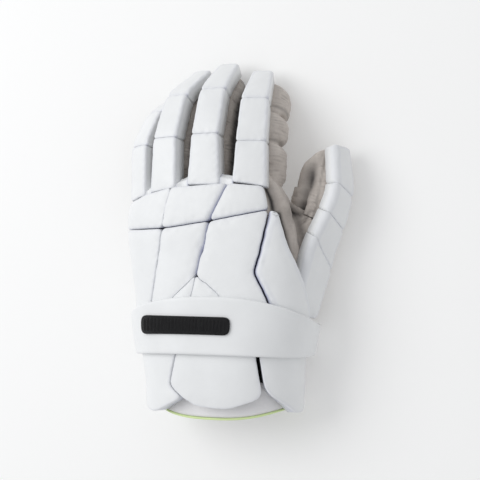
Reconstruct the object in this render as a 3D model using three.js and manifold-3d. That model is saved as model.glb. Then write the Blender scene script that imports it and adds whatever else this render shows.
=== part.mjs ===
// A left-hand lacrosse glove that lies palm down, in millimetres.
// +Y runs to the fingertips, +X to the thumb and +Z off the back of the hand.
import * as THREE from "three";
import { mergeVertices } from "three/addons/utils/BufferGeometryUtils.js";
import Module from "manifold-3d";

const kernel = await Module();
kernel.setup();

// Sizes of the hand shell
const BACK_LENGTH = 184; // wrist rim to knuckle line
const HALF_WIDTH = 66; // middle to little-finger side
const SHELL_HEIGHT = 60; // palm side to crest
const HALF_GIRTH = 82; // crest to side, measured round the back
const SQUARENESS = 2.6; // 2 would be an ellipse
const SHELL_WALL = 2;
const SHELL_START = 0.285; // share of BACK_LENGTH where the cuff ends
const NOSE_LENGTH = 5; // rounded front end past the knuckle line

// Sizes of the pads
const BACK_PAD = 13.5;
const FINGER_PAD = 12;
const FLAP_THICKNESS = 10;
const PAD_START = 0.3385; // share of BACK_LENGTH, under the strap

// Sizes of the strap and its badge
const STRAP_THICKNESS = 4;
const STRAP_FOOT = 0.285; // shares of BACK_LENGTH
const STRAP_SIDE_TOP = 0.425;
const STRAP_RISE = 0.11; // extra width over the back of the hand
const BADGE_LENGTH = 76;
const BADGE_WIDTH = 15;
const BADGE_THICKNESS = 1.6;

// Sizes of the cuff
const LINER_WALL = 3;
const CUFF_BOW = 8; // how far the sides stand back from the middle of the rim
const BINDING_WIDTH = 3.2;
const BINDING_EXTRA = 0.5; // binding stands proud of the liner by this
const ELASTIC_THICKNESS = 2;
const ELASTIC_LENGTH = 24;
const ELASTIC_WIDTH = 21;

// Sizes of the fingers and the thumb
const FINGER_LENGTH = 114; // knuckle line to tip of the middle finger
const PAD_WIDTH = 24;
const STALL_WIDTH = 27;
const STALL_DEPTH = 27;
const STALL_WALL = 1.8;
const TIP_ROUND = 12;
const BEND_REACH = 10; // each bend is spread this far to both sides of its crease
const PINCH_DEPTH = 4; // how far a sewn crease pulls in the side of a stall
const PINCH_REACH = 5; // length of stall that each such crease pulls in, to both sides
const THUMB_LENGTH = 147;
const THUMB_DEPTH = 26;
const THUMB_SPLIT = 0.6; // share of THUMB_LENGTH where the stall leaves the palm
const THUMB_PADS_START = 12; // along the thumb, clear of the strap
const THUMB_ROOT_START = 8; // along the thumb, where its outside starts within the hand
const THUMB_OPEN = 10; // along the thumb, where its hollow opens into the hand
const WEB_THICKNESS = 9; // leather web between the thumb and the palm

// Clearances
const SEAT_GAP = 0.35; // under a pad
const SEAM_GAP = 0.7; // between two soft pads
const JOINT_GAP = 1.1; // between two pads of a finger
const GROOVE_GAP = 1.6; // between two pads with an open groove
const FLOOR = 0; // the soft glove is flattened where it rests

const STEPS_ROUND = 28;
const radians = THREE.MathUtils.degToRad;

// Sections of the hand: widths in shares of HALF_WIDTH, heights in shares of SHELL_HEIGHT
// above the seat of the strap, and the skew of the section in shares of HALF_WIDTH.
const STRAP_SEAT = STRAP_THICKNESS + SEAT_GAP;
const SECTION_COLUMNS = ["left", "right", "top", "bottom", "waist", "skew"];
const SECTIONS = [
  // along  left   right  top    bottom  waist  skew
  [0.0, -0.88, 0.77, 0.93, -0.08, 0.39, 0],
  [0.14, -0.88, 0.77, 0.945, -0.08, 0.39, 0],
  [0.29, -0.93, 0.79, 0.945, -0.01, 0.42, 0],
  [0.41, -0.99, 0.86, 0.935, -0.01, 0.43, 0],
  [0.54, -1.01, 0.91, 0.935, 0.045, 0.44, 0],
  [0.68, -1.06, 0.925, 0.925, 0.11, 0.48, 0],
  [0.82, -1.09, 0.87, 0.92, 0.19, 0.53, 0.03],
  [0.91, -1.08, 0.82, 0.9, 0.26, 0.54, 0.06],
  [1.0, -1.03, 0.77, 0.86, 0.31, 0.54, 0.09],
];

// Smooth curve through the rows of a table whose first column is the place along it
function tableAt(rows, place) {
  const last = rows.length - 1;
  const here = THREE.MathUtils.clamp(place, rows[0][0], rows[last][0]);
  let row = 0;
  while (row < last - 1 && here > rows[row + 1][0]) row += 1;
  const slope = (r, c) => {
    const a = Math.max(0, r - 1);
    const b = Math.min(last, r + 1);
    return (rows[b][c] - rows[a][c]) / (rows[b][0] - rows[a][0]);
  };
  const width = rows[row + 1][0] - rows[row][0];
  const t = (here - rows[row][0]) / width;
  return rows[0].slice(1).map((unused, index) => {
    const c = index + 1;
    return (
      (2 * t ** 3 - 3 * t ** 2 + 1) * rows[row][c] +
      (t ** 3 - 2 * t ** 2 + t) * width * slope(row, c) +
      (3 * t ** 2 - 2 * t ** 3) * rows[row + 1][c] +
      (t ** 3 - t ** 2) * width * slope(row + 1, c)
    );
  });
}

const signedPower = (value, power) => Math.sign(value) * Math.abs(value) ** power;

function smooth(from, to, value) {
  return THREE.MathUtils.smoothstep(value, from, to);
}

// Point of the shell's outside, angle 0 on the thumb side and a quarter turn at the crest
function shellPoint(along, angle) {
  const row = tableAt(SECTIONS, along);
  const section = Object.fromEntries(SECTION_COLUMNS.map((name, i) => [name, row[i]]));
  const middle = ((section.left + section.right) / 2) * HALF_WIDTH;
  const reach = ((section.right - section.left) / 2) * HALF_WIDTH;
  const power = 2 / SQUARENESS;
  const up = signedPower(Math.sin(angle), power);
  const edge = up > 0 ? section.top - section.waist : section.waist - section.bottom;
  const x = middle + reach * signedPower(Math.cos(angle), power);
  const y = along * BACK_LENGTH + section.skew * x;
  return new THREE.Vector3(x, y, STRAP_SEAT + (section.waist + edge * up) * SHELL_HEIGHT);
}

// The same point moved out along the normal
function liftedPoint(along, angle, lift) {
  const step = 0.01;
  const point = shellPoint(along, angle);
  const inside = Math.min(along, 1 - step);
  const round = shellPoint(inside, angle + step).sub(shellPoint(inside, angle - step));
  const ahead = shellPoint(inside + step, angle).sub(shellPoint(inside - step, angle));
  const normal = ahead.cross(round).normalize();
  return point.addScaledVector(normal, lift);
}

// Angle of a place across the back: 0 at the crest, 1 at the thumb side, -1 at the little
// finger's side, by length round the section, and on to 2 and -2 in the middle of the palm
function angleOf(along, across) {
  const side = across < 0 ? -1 : 1;
  const far = Math.abs(across);
  const quarter = Math.PI / 2;
  if (far >= 1) return quarter - side * quarter * far;
  const steps = 40;
  const lengths = [0];
  let before = shellPoint(along, quarter);
  for (let i = 1; i <= steps; i += 1) {
    const point = shellPoint(along, quarter - (side * quarter * i) / steps);
    lengths.push(lengths[i - 1] + point.distanceTo(before));
    before = point;
  }
  const goal = far * lengths[steps];
  let i = 1;
  while (lengths[i] < goal) i += 1;
  const part = (goal - lengths[i - 1]) / (lengths[i] - lengths[i - 1]);
  return quarter - (side * quarter * (i - 1 + part)) / steps;
}

const flattened = (point, floor = FLOOR) => point.setZ(Math.max(point.z, floor));

// Place on the back from plane coordinates in millimetres
function onBack(u, v, height) {
  const along = v / BACK_LENGTH;
  return flattened(liftedPoint(along, angleOf(along, u / HALF_GIRTH), height));
}

// Closed solids from rings of points
function facedGeometry(points, faces) {
  const volume = faces.reduce((sum, [a, b, c]) => {
    const cross = points[b].clone().cross(points[c]);
    return sum + points[a].dot(cross);
  }, 0);
  const turned = volume < 0 ? faces.map(([a, b, c]) => [a, c, b]) : faces;
  const geometry = new THREE.BufferGeometry().setFromPoints(points);
  geometry.setIndex(turned.flat());
  return geometry;
}

// A stack of rings with a fan to a hub at each end
function stackedSolid(rings, firstHub, lastHub) {
  const count = rings[0].length;
  const points = [...rings.flat(), firstHub, lastHub];
  const faces = [];
  for (let r = 0; r + 1 < rings.length; r += 1) {
    for (let i = 0; i < count; i += 1) {
      const a = r * count + i;
      const b = r * count + ((i + 1) % count);
      faces.push([a, b, b + count], [a, b + count, a + count]);
    }
  }
  const last = (rings.length - 1) * count;
  for (let i = 0; i < count; i += 1) {
    const next = (i + 1) % count;
    faces.push([next, i, points.length - 2]);
    faces.push([last + i, last + next, points.length - 1]);
  }
  return facedGeometry(points, faces);
}

// Rings that come back to the first one, as the outside and inside of an open tube do
function loopedSolid(rings) {
  const count = rings[0].length;
  const faces = [];
  rings.forEach((ring, r) => {
    const start = r * count;
    const after = ((r + 1) % rings.length) * count;
    for (let i = 0; i < count; i += 1) {
      const next = (i + 1) % count;
      faces.push([start + i, start + next, after + next]);
      faces.push([start + i, after + next, after + i]);
    }
  });
  return facedGeometry(rings.flat(), faces);
}

const middleOf = (ring) =>
  ring.reduce((sum, point) => sum.add(point), new THREE.Vector3()).divideScalar(ring.length);

const closedTube = (rings) => stackedSolid(rings, middleOf(rings[0]), middleOf(rings.at(-1)));

// Booleans
function toKernel(geometry) {
  const merged = mergeVertices(geometry.clone(), 1e-4);
  return new kernel.Manifold(
    new kernel.Mesh({
      numProp: 3,
      vertProperties: merged.attributes.position.array,
      triVerts: new Uint32Array(merged.index.array),
    }),
  );
}

function fromKernel(solid) {
  const mesh = solid.getMesh();
  const geometry = new THREE.BufferGeometry();
  const values = new Float32Array(mesh.numVert * 3);
  for (let i = 0; i < mesh.numVert; i += 1) {
    const start = i * mesh.numProp;
    values.set(mesh.vertProperties.subarray(start, start + 3), i * 3);
  }
  geometry.setAttribute("position", new THREE.BufferAttribute(values, 3));
  geometry.setIndex(new THREE.BufferAttribute(mesh.triVerts, 1));
  return geometry;
}

// Largest body of a cut solid, without the crumbs that a cut can leave
function mainBody(solid) {
  const bodies = solid.decompose();
  bodies.sort((a, b) => b.volume() - a.volume());
  return bodies[0];
}

function trimmed(geometry, tools) {
  const cut = tools.reduce((solid, tool) => solid.subtract(tool), toKernel(geometry));
  return fromKernel(mainBody(cut));
}

// Outline of a pad: corners with each edge moved in, round corners and even steps
function outlineOf(corners, insets, fillet, step) {
  const count = corners.length;
  const curve = fillet > 5 ? [0, 0.5, 1] : [0, 1];
  const edges = corners.map((from, i) => {
    const to = corners[(i + 1) % count];
    const length = Math.hypot(to[0] - from[0], to[1] - from[1]);
    const along = [(to[0] - from[0]) / length, (to[1] - from[1]) / length];
    const inward = [-along[1], along[0]];
    return { from, along, inward, length, inset: insets[i] };
  });
  const moved = edges.map((edge, i) => {
    const before = edges[(i + count - 1) % count];
    const a = edge.from.map((value, k) => value + edge.inward[k] * edge.inset);
    const b = edge.from.map((value, k) => value + before.inward[k] * before.inset);
    const cross = before.along[0] * edge.along[1] - before.along[1] * edge.along[0];
    if (Math.abs(cross) < 0.02) return a;
    const gap = [a[0] - b[0], a[1] - b[1]];
    const run = (gap[0] * edge.along[1] - gap[1] * edge.along[0]) / cross;
    return [b[0] + before.along[0] * run, b[1] + before.along[1] * run];
  });
  const ring = [];
  edges.forEach((edge, i) => {
    const before = edges[(i + count - 1) % count];
    const reach = Math.min(fillet, 0.35 * edge.length, 0.35 * before.length);
    const corner = moved[i];
    const start = corner.map((value, k) => value - before.along[k] * reach);
    const end = corner.map((value, k) => value + edge.along[k] * reach);
    for (const t of curve) {
      ring.push(
        corner.map((value, k) => {
          const ends = (1 - t) ** 2 * start[k] + t ** 2 * end[k];
          return ends + 2 * t * (1 - t) * value;
        }),
      );
    }
    const after = edges[(i + 1) % count];
    const lastReach = Math.min(fillet, 0.35 * edge.length, 0.35 * after.length);
    const finish = moved[(i + 1) % count].map((value, k) => value - edge.along[k] * lastReach);
    const pieces = Math.max(1, Math.round((edge.length - reach - lastReach) / step));
    for (let j = 1; j < pieces; j += 1) {
      ring.push(end.map((value, k) => value + ((finish[k] - value) * j) / pieces));
    }
  });
  return ring;
}

// A padded panel: outline, seat height, thickness, rounded upper edge and a place function
function padGeometry(corners, options) {
  const { gaps, seat, thick, rounding, place, fillet = 4, step = 13, inner = 2 } = options;
  const { below = inner } = options;
  const grow = options.grow ?? 0;
  const ringAt = (inset) =>
    outlineOf(corners, gaps.map((gap) => gap / 2 + inset - grow), fillet, step);
  const levels = [
    { ring: ringAt(0), height: seat - grow },
    { ring: ringAt(0), height: thick - rounding },
    { ring: ringAt(rounding * 0.3), height: thick - rounding * 0.3 },
    { ring: ringAt(rounding), height: thick + grow },
  ];
  const hubOf = (ring) =>
    options.hub ?? [0, 1].map((k) => ring.reduce((sum, p) => sum + p[k], 0) / ring.length);
  const shrunk = (level, share) => {
    const hub = hubOf(level.ring);
    const ring = level.ring.map((p) => p.map((value, k) => hub[k] + (value - hub[k]) * share));
    return { ring, height: level.height };
  };
  const shares = (count) => Array.from({ length: count }, (unused, i) => (i + 1) / (count + 1));
  const all = [
    ...shares(below).map((share) => shrunk(levels[0], share)),
    ...levels,
    ...shares(inner)
      .reverse()
      .map((share) => shrunk(levels.at(-1), share)),
  ];
  const rings = all.map(({ ring, height }) => ring.map(([u, v]) => place(u, v, height)));
  const bottomHub = hubOf(levels[0].ring);
  const topHub = hubOf(levels.at(-1).ring);
  return stackedSolid(
    rings,
    place(bottomHub[0], bottomHub[1], levels[0].height),
    place(topHub[0], topHub[1], levels.at(-1).height),
  );
}

// Materials
const finish = (color, roughness) =>
  new THREE.MeshStandardMaterial({ color, roughness, metalness: 0 });
const MATERIALS = {
  whiteLeather: () => finish(0xe8ecee, 0.45),
  suede: () => finish(0xa89c92, 0.95),
  lining: () => finish(0xdcdce0, 0.9),
  lime: () => finish(0xc8f078, 0.8),
  black: () => finish(0x141416, 0.6),
};

const glove = new THREE.Group();
function addPiece(name, geometry, material) {
  const mesh = new THREE.Mesh(geometry, MATERIALS[material]());
  mesh.name = name;
  mesh.geometry.computeVertexNormals();
  glove.add(mesh);
}

// Rings round the hand at one lift, with the wrist edge bowed where asked
function handRing(alongOf, liftOf, floor = FLOOR) {
  return Array.from({ length: STEPS_ROUND }, (unused, i) => {
    const angle = (i * 2 * Math.PI) / STEPS_ROUND;
    return flattened(liftedPoint(alongOf(angle), angle, liftOf(angle)), floor);
  });
}

const evenly = (from, to, count) =>
  Array.from({ length: count }, (unused, i) => from + ((to - from) * i) / (count - 1));

// Closed solid of the hand shell, grown or shrunk by a lift
function handSolid(lift, start, floor, rows = 7) {
  const rings = evenly(start, 1, rows).map((along) => handRing(() => along, () => lift, floor));
  const nose = 1 + NOSE_LENGTH / BACK_LENGTH;
  rings.push(
    handRing(() => nose, () => lift - NOSE_LENGTH * 0.6, floor).map((point) =>
      point.setY(point.y + Math.min(lift, 1)),
    ),
  );
  return toKernel(closedTube(rings));
}

// Paths of the fingers: seat line on the back of the finger, bent at two creases
function makePath(origin, turns, lengths, pitches) {
  const { yaw, roll, dip = 0 } = turns;
  const heading = new THREE.Vector3(Math.sin(yaw), Math.cos(yaw), -Math.sin(dip)).normalize();
  const level = new THREE.Vector3(Math.cos(yaw), -Math.sin(yaw), 0);
  const outward = new THREE.Vector3(0, 0, Math.cos(roll)).addScaledVector(level, Math.sin(roll));
  outward.addScaledVector(heading, -outward.dot(heading)).normalize();
  const creases = lengths.slice(0, -1).reduce((list, l) => [...list, (list.at(-1) ?? 0) + l], []);
  const pitchAt = (s) =>
    creases.reduce((pitch, crease, i) => {
      const share = smooth(crease - BEND_REACH, crease + BEND_REACH, s);
      return pitch + (pitches[i + 1] - pitches[i]) * share;
    }, pitches[0]);
  const total = lengths.reduce((sum, l) => sum + l, 0);
  const directions = (s) => {
    const pitch = pitchAt(s);
    const along = heading.clone().multiplyScalar(Math.cos(pitch));
    along.addScaledVector(outward, -Math.sin(pitch));
    const up = outward.clone().multiplyScalar(Math.cos(pitch));
    up.addScaledVector(heading, Math.sin(pitch));
    return { along, up, side: along.clone().cross(up) };
  };
  const points = [origin.clone()];
  for (let s = 0; s < total + TIP_ROUND; s += 1) {
    points.push(points.at(-1).clone().add(directions(s + 0.5).along));
  }
  const pointAt = (s) => {
    if (s <= 0) return origin.clone().addScaledVector(directions(0).along, s);
    const index = Math.min(Math.floor(s), points.length - 2);
    return points[index].clone().lerp(points[index + 1], s - index);
  };
  const place = (t, s, height) => {
    const { up, side } = directions(s);
    return pointAt(s).addScaledVector(side, t).addScaledVector(up, height);
  };
  return { place, creases, total };
}

// How far the creases between the lobes of a stall pull in its thumb side
const pinchAt = (pinches, s) =>
  pinches.reduce((pull, pinch) => {
    const far = Math.min(1, Math.abs(s - pinch) / PINCH_REACH);
    return pull + PINCH_DEPTH * (1 - far) ** 2;
  }, 0);

// Ring of a finger stall at a place along the path, shrunk by an inset
function stallRing({ path, widths, depths, pinches = [] }, s, inset, steps) {
  const capStart = path.total - inset - TIP_ROUND;
  const cap = THREE.MathUtils.clamp((s - capStart) / TIP_ROUND, 0, 0.995);
  const round = Math.sqrt(1 - cap ** 2);
  const [low, high] = tableAt(widths, s / path.total);
  const [deep] = tableAt(depths, s / path.total);
  const depth = (deep - 2 * inset) * (0.25 + 0.75 * round);
  const power = 2 / 2.4;
  return Array.from({ length: steps }, (unused, i) => {
    const angle = (i * 2 * Math.PI) / steps;
    const across = signedPower(Math.cos(angle), power);
    const reach = (across < 0 ? low : high - pinchAt(pinches, s)) - inset;
    const height = -inset - depth / 2 + (depth / 2) * signedPower(Math.sin(angle), power);
    return path.place(reach * across * (0.3 + 0.7 * round), s, height);
  });
}

function stallSolid(stall, start, end, inset, steps = 10) {
  const { path, pinches = [] } = stall;
  const capStart = path.total - inset - TIP_ROUND;
  const creased = pinches.flatMap((s) => [s - PINCH_REACH, s, s + PINCH_REACH]);
  const clear = (s) => creased.every((crease) => Math.abs(s - crease) > 2 * PINCH_REACH);
  const straight = evenly(start, capStart, 6).filter(clear);
  const capped = [0.55, 1].map((share) => capStart + TIP_ROUND * share);
  const places = [...straight, ...creased, ...capped].filter((s) => s <= end);
  places.sort((a, b) => a - b);
  if (end < path.total) places.push(end);
  const floor = FLOOR + inset;
  const rings = places.map((s) =>
    stallRing(stall, s, inset, steps).map((point) => flattened(point, floor)),
  );
  return toKernel(closedTube(rings));
}

// Fingers: root on the hand, turns in degrees, lengths in shares of FINGER_LENGTH,
// half widths of the pads in shares of PAD_WIDTH from root to tip, half widths of the stall
// in shares of STALL_WIDTH, and creases between the lobes of its thumb side
const FINGERS = [
  {
    name: "index",
    root: [0.55, 0.973],
    yaw: 0.5,
    roll: 12,
    lengths: [0.321, 0.29, 0.335],
    pitches: [8, 21, 55],
    pads: [0.59, 0.52, 0.48, 0.36],
    low: 0.48,
    high: 0.9,
    deep: 1,
    creases: [0.03, 0.35, 0.58],
  },
  {
    name: "middle",
    root: [0.014, 1.0],
    yaw: -1,
    roll: 0,
    lengths: [0.358, 0.318, 0.318],
    pitches: [6, 24, 56],
    pads: [0.6, 0.5, 0.48, 0.38],
    low: 0.49,
    high: 0.54,
    deep: 1,
  },
  {
    name: "ring",
    root: [-0.477, 0.99],
    yaw: -1.5,
    roll: -14,
    lengths: [0.38, 0.296, 0.335],
    pitches: [5, 24, 59],
    pads: [0.55, 0.5, 0.45, 0.34],
    low: 0.42,
    high: 0.46,
    deep: 0.96,
  },
  {
    name: "little",
    root: [-0.83, 0.965],
    yaw: -6,
    roll: -28,
    lengths: [0.38, 0.25, 0.26],
    pitches: [7, 34, 64],
    pads: [0.42, 0.42, 0.38, 0.25],
    low: 0.4,
    high: 0.34,
    deep: 0.82,
  },
];

for (const finger of FINGERS) {
  const [across, along] = finger.root;
  const origin = liftedPoint(along, angleOf(Math.min(along, 1), across), 0);
  finger.path = makePath(
    origin,
    { yaw: radians(finger.yaw), roll: radians(finger.roll) },
    finger.lengths.map((share) => share * FINGER_LENGTH),
    finger.pitches.map(radians),
  );
  const narrow = 0.86;
  finger.widths = [
    [0, finger.low * STALL_WIDTH, finger.high * STALL_WIDTH],
    [0.75, finger.low * STALL_WIDTH * 0.97, finger.high * STALL_WIDTH * 0.97],
    [1, finger.low * STALL_WIDTH * narrow, finger.high * STALL_WIDTH * narrow],
  ];
  finger.depths = [
    [0, STALL_DEPTH * finger.deep],
    [0.6, STALL_DEPTH * finger.deep * 0.95],
    [1, STALL_DEPTH * finger.deep * 0.8],
  ];
  finger.pinches = (finger.creases ?? []).map((share) => share * FINGER_LENGTH);
}

// Thumb: its seat line starts on the thumb side of the shell
const THUMB = {
  root: [1, 0.39],
  lift: -1,
  yaw: 21.5,
  roll: 69,
  dip: 1,
  lengths: [0.439, 0.192, 0.153, 0.226],
  pitches: [9, -2, 4, 33],
  slants: [0.86, 0.45, 0.3], // how far each crease leans, in lengths for each width
  upper: [0.72, 0.68, 0.55, 0.47, 0.39], // half widths of the pads towards the hand
  lower: [0.48, 0.63, 0.55, 0.47, 0.39],
};
const thumbOrigin = liftedPoint(THUMB.root[1], angleOf(THUMB.root[1], THUMB.root[0]), THUMB.lift);
const thumbPath = makePath(
  thumbOrigin,
  { yaw: radians(THUMB.yaw), roll: radians(THUMB.roll), dip: radians(THUMB.dip) },
  THUMB.lengths.map((share) => share * THUMB_LENGTH),
  THUMB.pitches.map(radians),
);
const thumb = { path: thumbPath };
thumb.widths = [
  [0, 0.42 * STALL_WIDTH, 0.42 * STALL_WIDTH],
  [0.3, 0.5 * STALL_WIDTH, 0.5 * STALL_WIDTH],
  [1, 0.43 * STALL_WIDTH, 0.43 * STALL_WIDTH],
];
thumb.depths = [
  [0, THUMB_DEPTH],
  [0.35, THUMB_DEPTH],
  [0.62, THUMB_DEPTH * 1.4],
  [0.8, THUMB_DEPTH * 1.4],
  [0.93, THUMB_DEPTH * 1.1],
  [1, THUMB_DEPTH * 0.8],
];

// Web: two places along the side of the shell, two on the thumb's middle line
const WEB = { shell: [0.62, 0.91], thumb: [0.3, 0.57] };
function webSolid() {
  const radius = WEB_THICKNESS / 2;
  const corners = [
    ...WEB.shell.map((along) => liftedPoint(along, angleOf(along, 1), -radius)),
    ...WEB.thumb.map((share) => thumbPath.place(0, share * thumbPath.total, -THUMB_DEPTH / 2)),
  ];
  const balls = corners.map((point) =>
    kernel.Manifold.sphere(radius, 8).translate(point.toArray()),
  );
  return kernel.Manifold.hull(balls);
}

// Hand shell and stalls
const split = THUMB_SPLIT * THUMB_LENGTH;
const shellOuter = handSolid(0, SHELL_START);
const shellInner = handSolid(-SHELL_WALL, SHELL_START - 0.02, FLOOR + SHELL_WALL, 5);
const shellGrown = handSolid(SEAT_GAP, SHELL_START);
const fingerHollows = FINGERS.map((finger) =>
  stallSolid(finger, -2 * NOSE_LENGTH, finger.path.total, STALL_WALL),
);
const thumbHollow = stallSolid(thumb, THUMB_OPEN, thumbPath.total, STALL_WALL);
const thumbRoot = stallSolid(thumb, THUMB_ROOT_START, split, 0);
const thumbClear = stallSolid(thumb, split, thumbPath.total, -SEAT_GAP);
let palm = shellOuter.add(thumbRoot).add(webSolid()).subtract(thumbClear);
palm = palm.subtract(shellInner).subtract(thumbHollow);
for (const hollow of fingerHollows) palm = palm.subtract(hollow);
addPiece("palm_shell", fromKernel(mainBody(palm)), "suede");

FINGERS.forEach((finger, i) => {
  const outer = stallSolid(finger, -NOSE_LENGTH, finger.path.total, 0);
  const stall = outer.subtract(fingerHollows[i]).subtract(shellGrown);
  addPiece(`${finger.name}_stall`, fromKernel(mainBody(stall)), "suede");
});
const thumbOuter = stallSolid(thumb, split + SEAT_GAP, thumbPath.total, 0);
const thumbStall = thumbOuter.subtract(thumbHollow).subtract(shellGrown);
addPiece("thumb_stall", fromKernel(mainBody(thumbStall)), "suede");

// Seam points of the back, across and along in shares of HALF_GIRTH and BACK_LENGTH
const SEAMS = {
  outerTop: [-1.1, 0.93],
  littleRoot: [-0.9, 0.943],
  littleTop: [-0.7, 0.985],
  ringTop: [-0.37, 1.008],
  dividerTop: [0.33, 1.0],
  indexTop: [0.7, 0.975],
  outerFoot: [-1.12, 0.832],
  softFoot: [-0.43, 0.828],
  dividerFoot: [0.105, 0.85],
  indexFoot: [0.71, 0.882],
  outerBend: [-1.14, 0.6],
  outerStart: [-1.14, PAD_START],
  ringStart: [-0.66, PAD_START],
  fan: [-0.087, 0.622],
  fanLeft: [-0.365, 0.516],
  fanLeftStart: [-0.45, PAD_START],
  fanMiddleStart: [-0.25, PAD_START],
  fanRight: [0.16, 0.541],
  fanRightStart: [0.33, PAD_START],
  zigzag: [0.483, 0.639],
  zigzagStart: [0.76, PAD_START],
  kiteTop: [0.775, 0.872],
  kiteBend: [0.8, 0.726],
  kiteSide: [0.9, 0.55],
  kiteStart: [1.04, PAD_START],
};

// Back pads: corners counterclockwise, and for each edge the kind of seam it ends on
const BACK_PADS = {
  knuckle_pad_little: {
    corners: ["outerTop", "outerFoot", "softFoot", "ringTop", "littleTop", "littleRoot"],
    seams: ["soft", "soft", "soft", "soft", "soft", "soft"],
  },
  knuckle_pad_ring: {
    corners: ["ringTop", "softFoot", "dividerFoot", "dividerTop"],
    seams: ["soft", "soft", "groove", "soft"],
  },
  knuckle_pad_index: {
    corners: ["dividerTop", "dividerFoot", "indexFoot", "indexTop"],
    seams: ["groove", "soft", "soft", "soft"],
  },
  back_pad_little: {
    corners: ["outerFoot", "outerBend", "outerStart", "ringStart", "softFoot"],
    seams: ["soft", "soft", "soft", "soft", "soft"],
  },
  back_pad_ring: {
    corners: ["softFoot", "ringStart", "fanLeftStart", "fanLeft", "fan", "dividerFoot"],
    seams: ["soft", "soft", "soft", "soft", "groove", "soft"],
    hub: [-0.31, 0.63],
  },
  back_pad_centre: {
    corners: ["dividerFoot", "fan", "fanRight", "fanRightStart", "zigzagStart", "zigzag", "indexFoot"],
    seams: ["groove", "soft", "soft", "soft", "groove", "groove", "soft"],
    hub: [0.3, 0.62],
  },
  fan_pad_left: {
    corners: ["fan", "fanLeft", "fanLeftStart", "fanMiddleStart"],
    seams: ["soft", "soft", "soft", "soft"],
  },
  fan_pad_right: {
    corners: ["fan", "fanMiddleStart", "fanRightStart", "fanRight"],
    seams: ["soft", "soft", "soft", "soft"],
  },
  thumb_side_pad: {
    corners: ["indexFoot", "zigzag", "zigzagStart", "kiteStart", "kiteSide", "kiteBend", "kiteTop"],
    seams: ["groove", "groove", "soft", "soft", "soft", "soft", "soft"],
    hub: [0.74, 0.6],
  },
};
const SEAM_KINDS = { soft: SEAM_GAP, groove: GROOVE_GAP };
const onPlane = ([across, along]) => [across * HALF_GIRTH, along * BACK_LENGTH];

function backPad({ corners, seams, hub }, grow = 0) {
  return padGeometry(
    corners.map((name) => onPlane(SEAMS[name])),
    {
      gaps: seams.map((kind) => SEAM_KINDS[kind]),
      seat: -SHELL_WALL,
      thick: BACK_PAD,
      rounding: 3,
      place: onBack,
      hub: hub && onPlane(hub),
      below: 0,
      grow,
    },
  );
}
const stallsGrown = FINGERS.map((finger) =>
  stallSolid(finger, -NOSE_LENGTH, finger.path.total, -SEAT_GAP),
);
for (const [name, pad] of Object.entries(BACK_PADS)) {
  const tools = name.startsWith("knuckle") ? [shellGrown, ...stallsGrown] : [shellGrown];
  addPiece(name, trimmed(backPad(pad), tools), "whiteLeather");
}

// Finger pads
const grownKnuckles = Object.entries(BACK_PADS)
  .filter(([name]) => name.startsWith("knuckle"))
  .map(([, pad]) => toKernel(backPad(pad, SEAT_GAP)));
const JOINT_NAMES = ["base", "middle", "tip"];

function fingerPad(path, from, to) {
  return padGeometry([...from, ...to], {
    gaps: [...from, ...to].map(() => JOINT_GAP),
    seat: SEAT_GAP,
    thick: FINGER_PAD,
    rounding: 3,
    place: path.place,
    step: 14,
    inner: 1,
    fillet: 3,
  });
}

for (const { name, path, pads } of FINGERS) {
  const places = [0, ...path.creases, path.total];
  const halves = pads.map((share) => share * PAD_WIDTH);
  JOINT_NAMES.forEach((joint, i) => {
    const near = [
      [-halves[i], places[i]],
      [halves[i], places[i]],
    ];
    const far = [
      [halves[i + 1], places[i + 1]],
      [-halves[i + 1], places[i + 1]],
    ];
    const pad = fingerPad(path, near, far);
    const geometry = i === 0 ? trimmed(pad, [...grownKnuckles, shellGrown]) : pad;
    addPiece(`${name}_pad_${joint}`, geometry, "whiteLeather");
  });
}

// Thumb pads: their creases lean
const thumbPlaces = [0, ...thumbPath.creases, thumbPath.total];
const thumbSlants = [0, ...THUMB.slants, 0];
const grownKite = toKernel(backPad(BACK_PADS.thumb_side_pad, SEAT_GAP));
["metacarpal", "base", "middle", "tip"].forEach((joint, i) => {
  const edge = (k, side) => {
    const half = side * (side < 0 ? THUMB.upper[k] : THUMB.lower[k]) * PAD_WIDTH;
    return [half, thumbPlaces[k] - thumbSlants[k] * half + (k === 0 ? THUMB_PADS_START : 0)];
  };
  const near = [edge(i, -1), edge(i, 1)];
  const far = [edge(i + 1, 1), edge(i + 1, -1)];
  const pad = fingerPad(thumbPath, near, far);
  const geometry = i === 0 ? trimmed(pad, [grownKite, shellGrown]) : pad;
  addPiece(`thumb_pad_${joint}`, geometry, "whiteLeather");
});

// Wrist strap: a loop over the pads and flaps that lies flat under the palm
const acrossOf = (angle) => {
  const turn = (Math.PI / 2 - angle) / (Math.PI / 2);
  return turn < -2 ? turn + 4 : turn;
};
const strapTop = (angle) => {
  const far = Math.min(Math.abs(acrossOf(angle) - 0.05), 1);
  return STRAP_SIDE_TOP + STRAP_RISE * (1 - far ** 1.8);
};
const padStack = BACK_PAD + 0.8;
const strapInner = (angle) => {
  const across = acrossOf(angle);
  const leave = across < 0 ? 1.17 : 1.08; // where the pads under the strap end
  const far = smooth(leave, leave + 0.42, Math.abs(across));
  return padStack + (SEAT_GAP - padStack) * far;
};
function strapRing(share, lift, floor) {
  const alongOf = (angle) => STRAP_FOOT + (strapTop(angle) - STRAP_FOOT) * share;
  return handRing(alongOf, (angle) => strapInner(angle) + lift, floor);
}
const acrossStrap = [0, 0.5, 1];
function strapGeometry(grow = 0) {
  const outer = acrossStrap.map((share) => strapRing(share, STRAP_THICKNESS + grow, FLOOR));
  const inner = acrossStrap.map((share) => strapRing(share, 0, STRAP_THICKNESS * 0.6));
  return loopedSolid([...outer, ...inner.reverse()]);
}
addPiece("wrist_strap", strapGeometry(), "whiteLeather");

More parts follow.
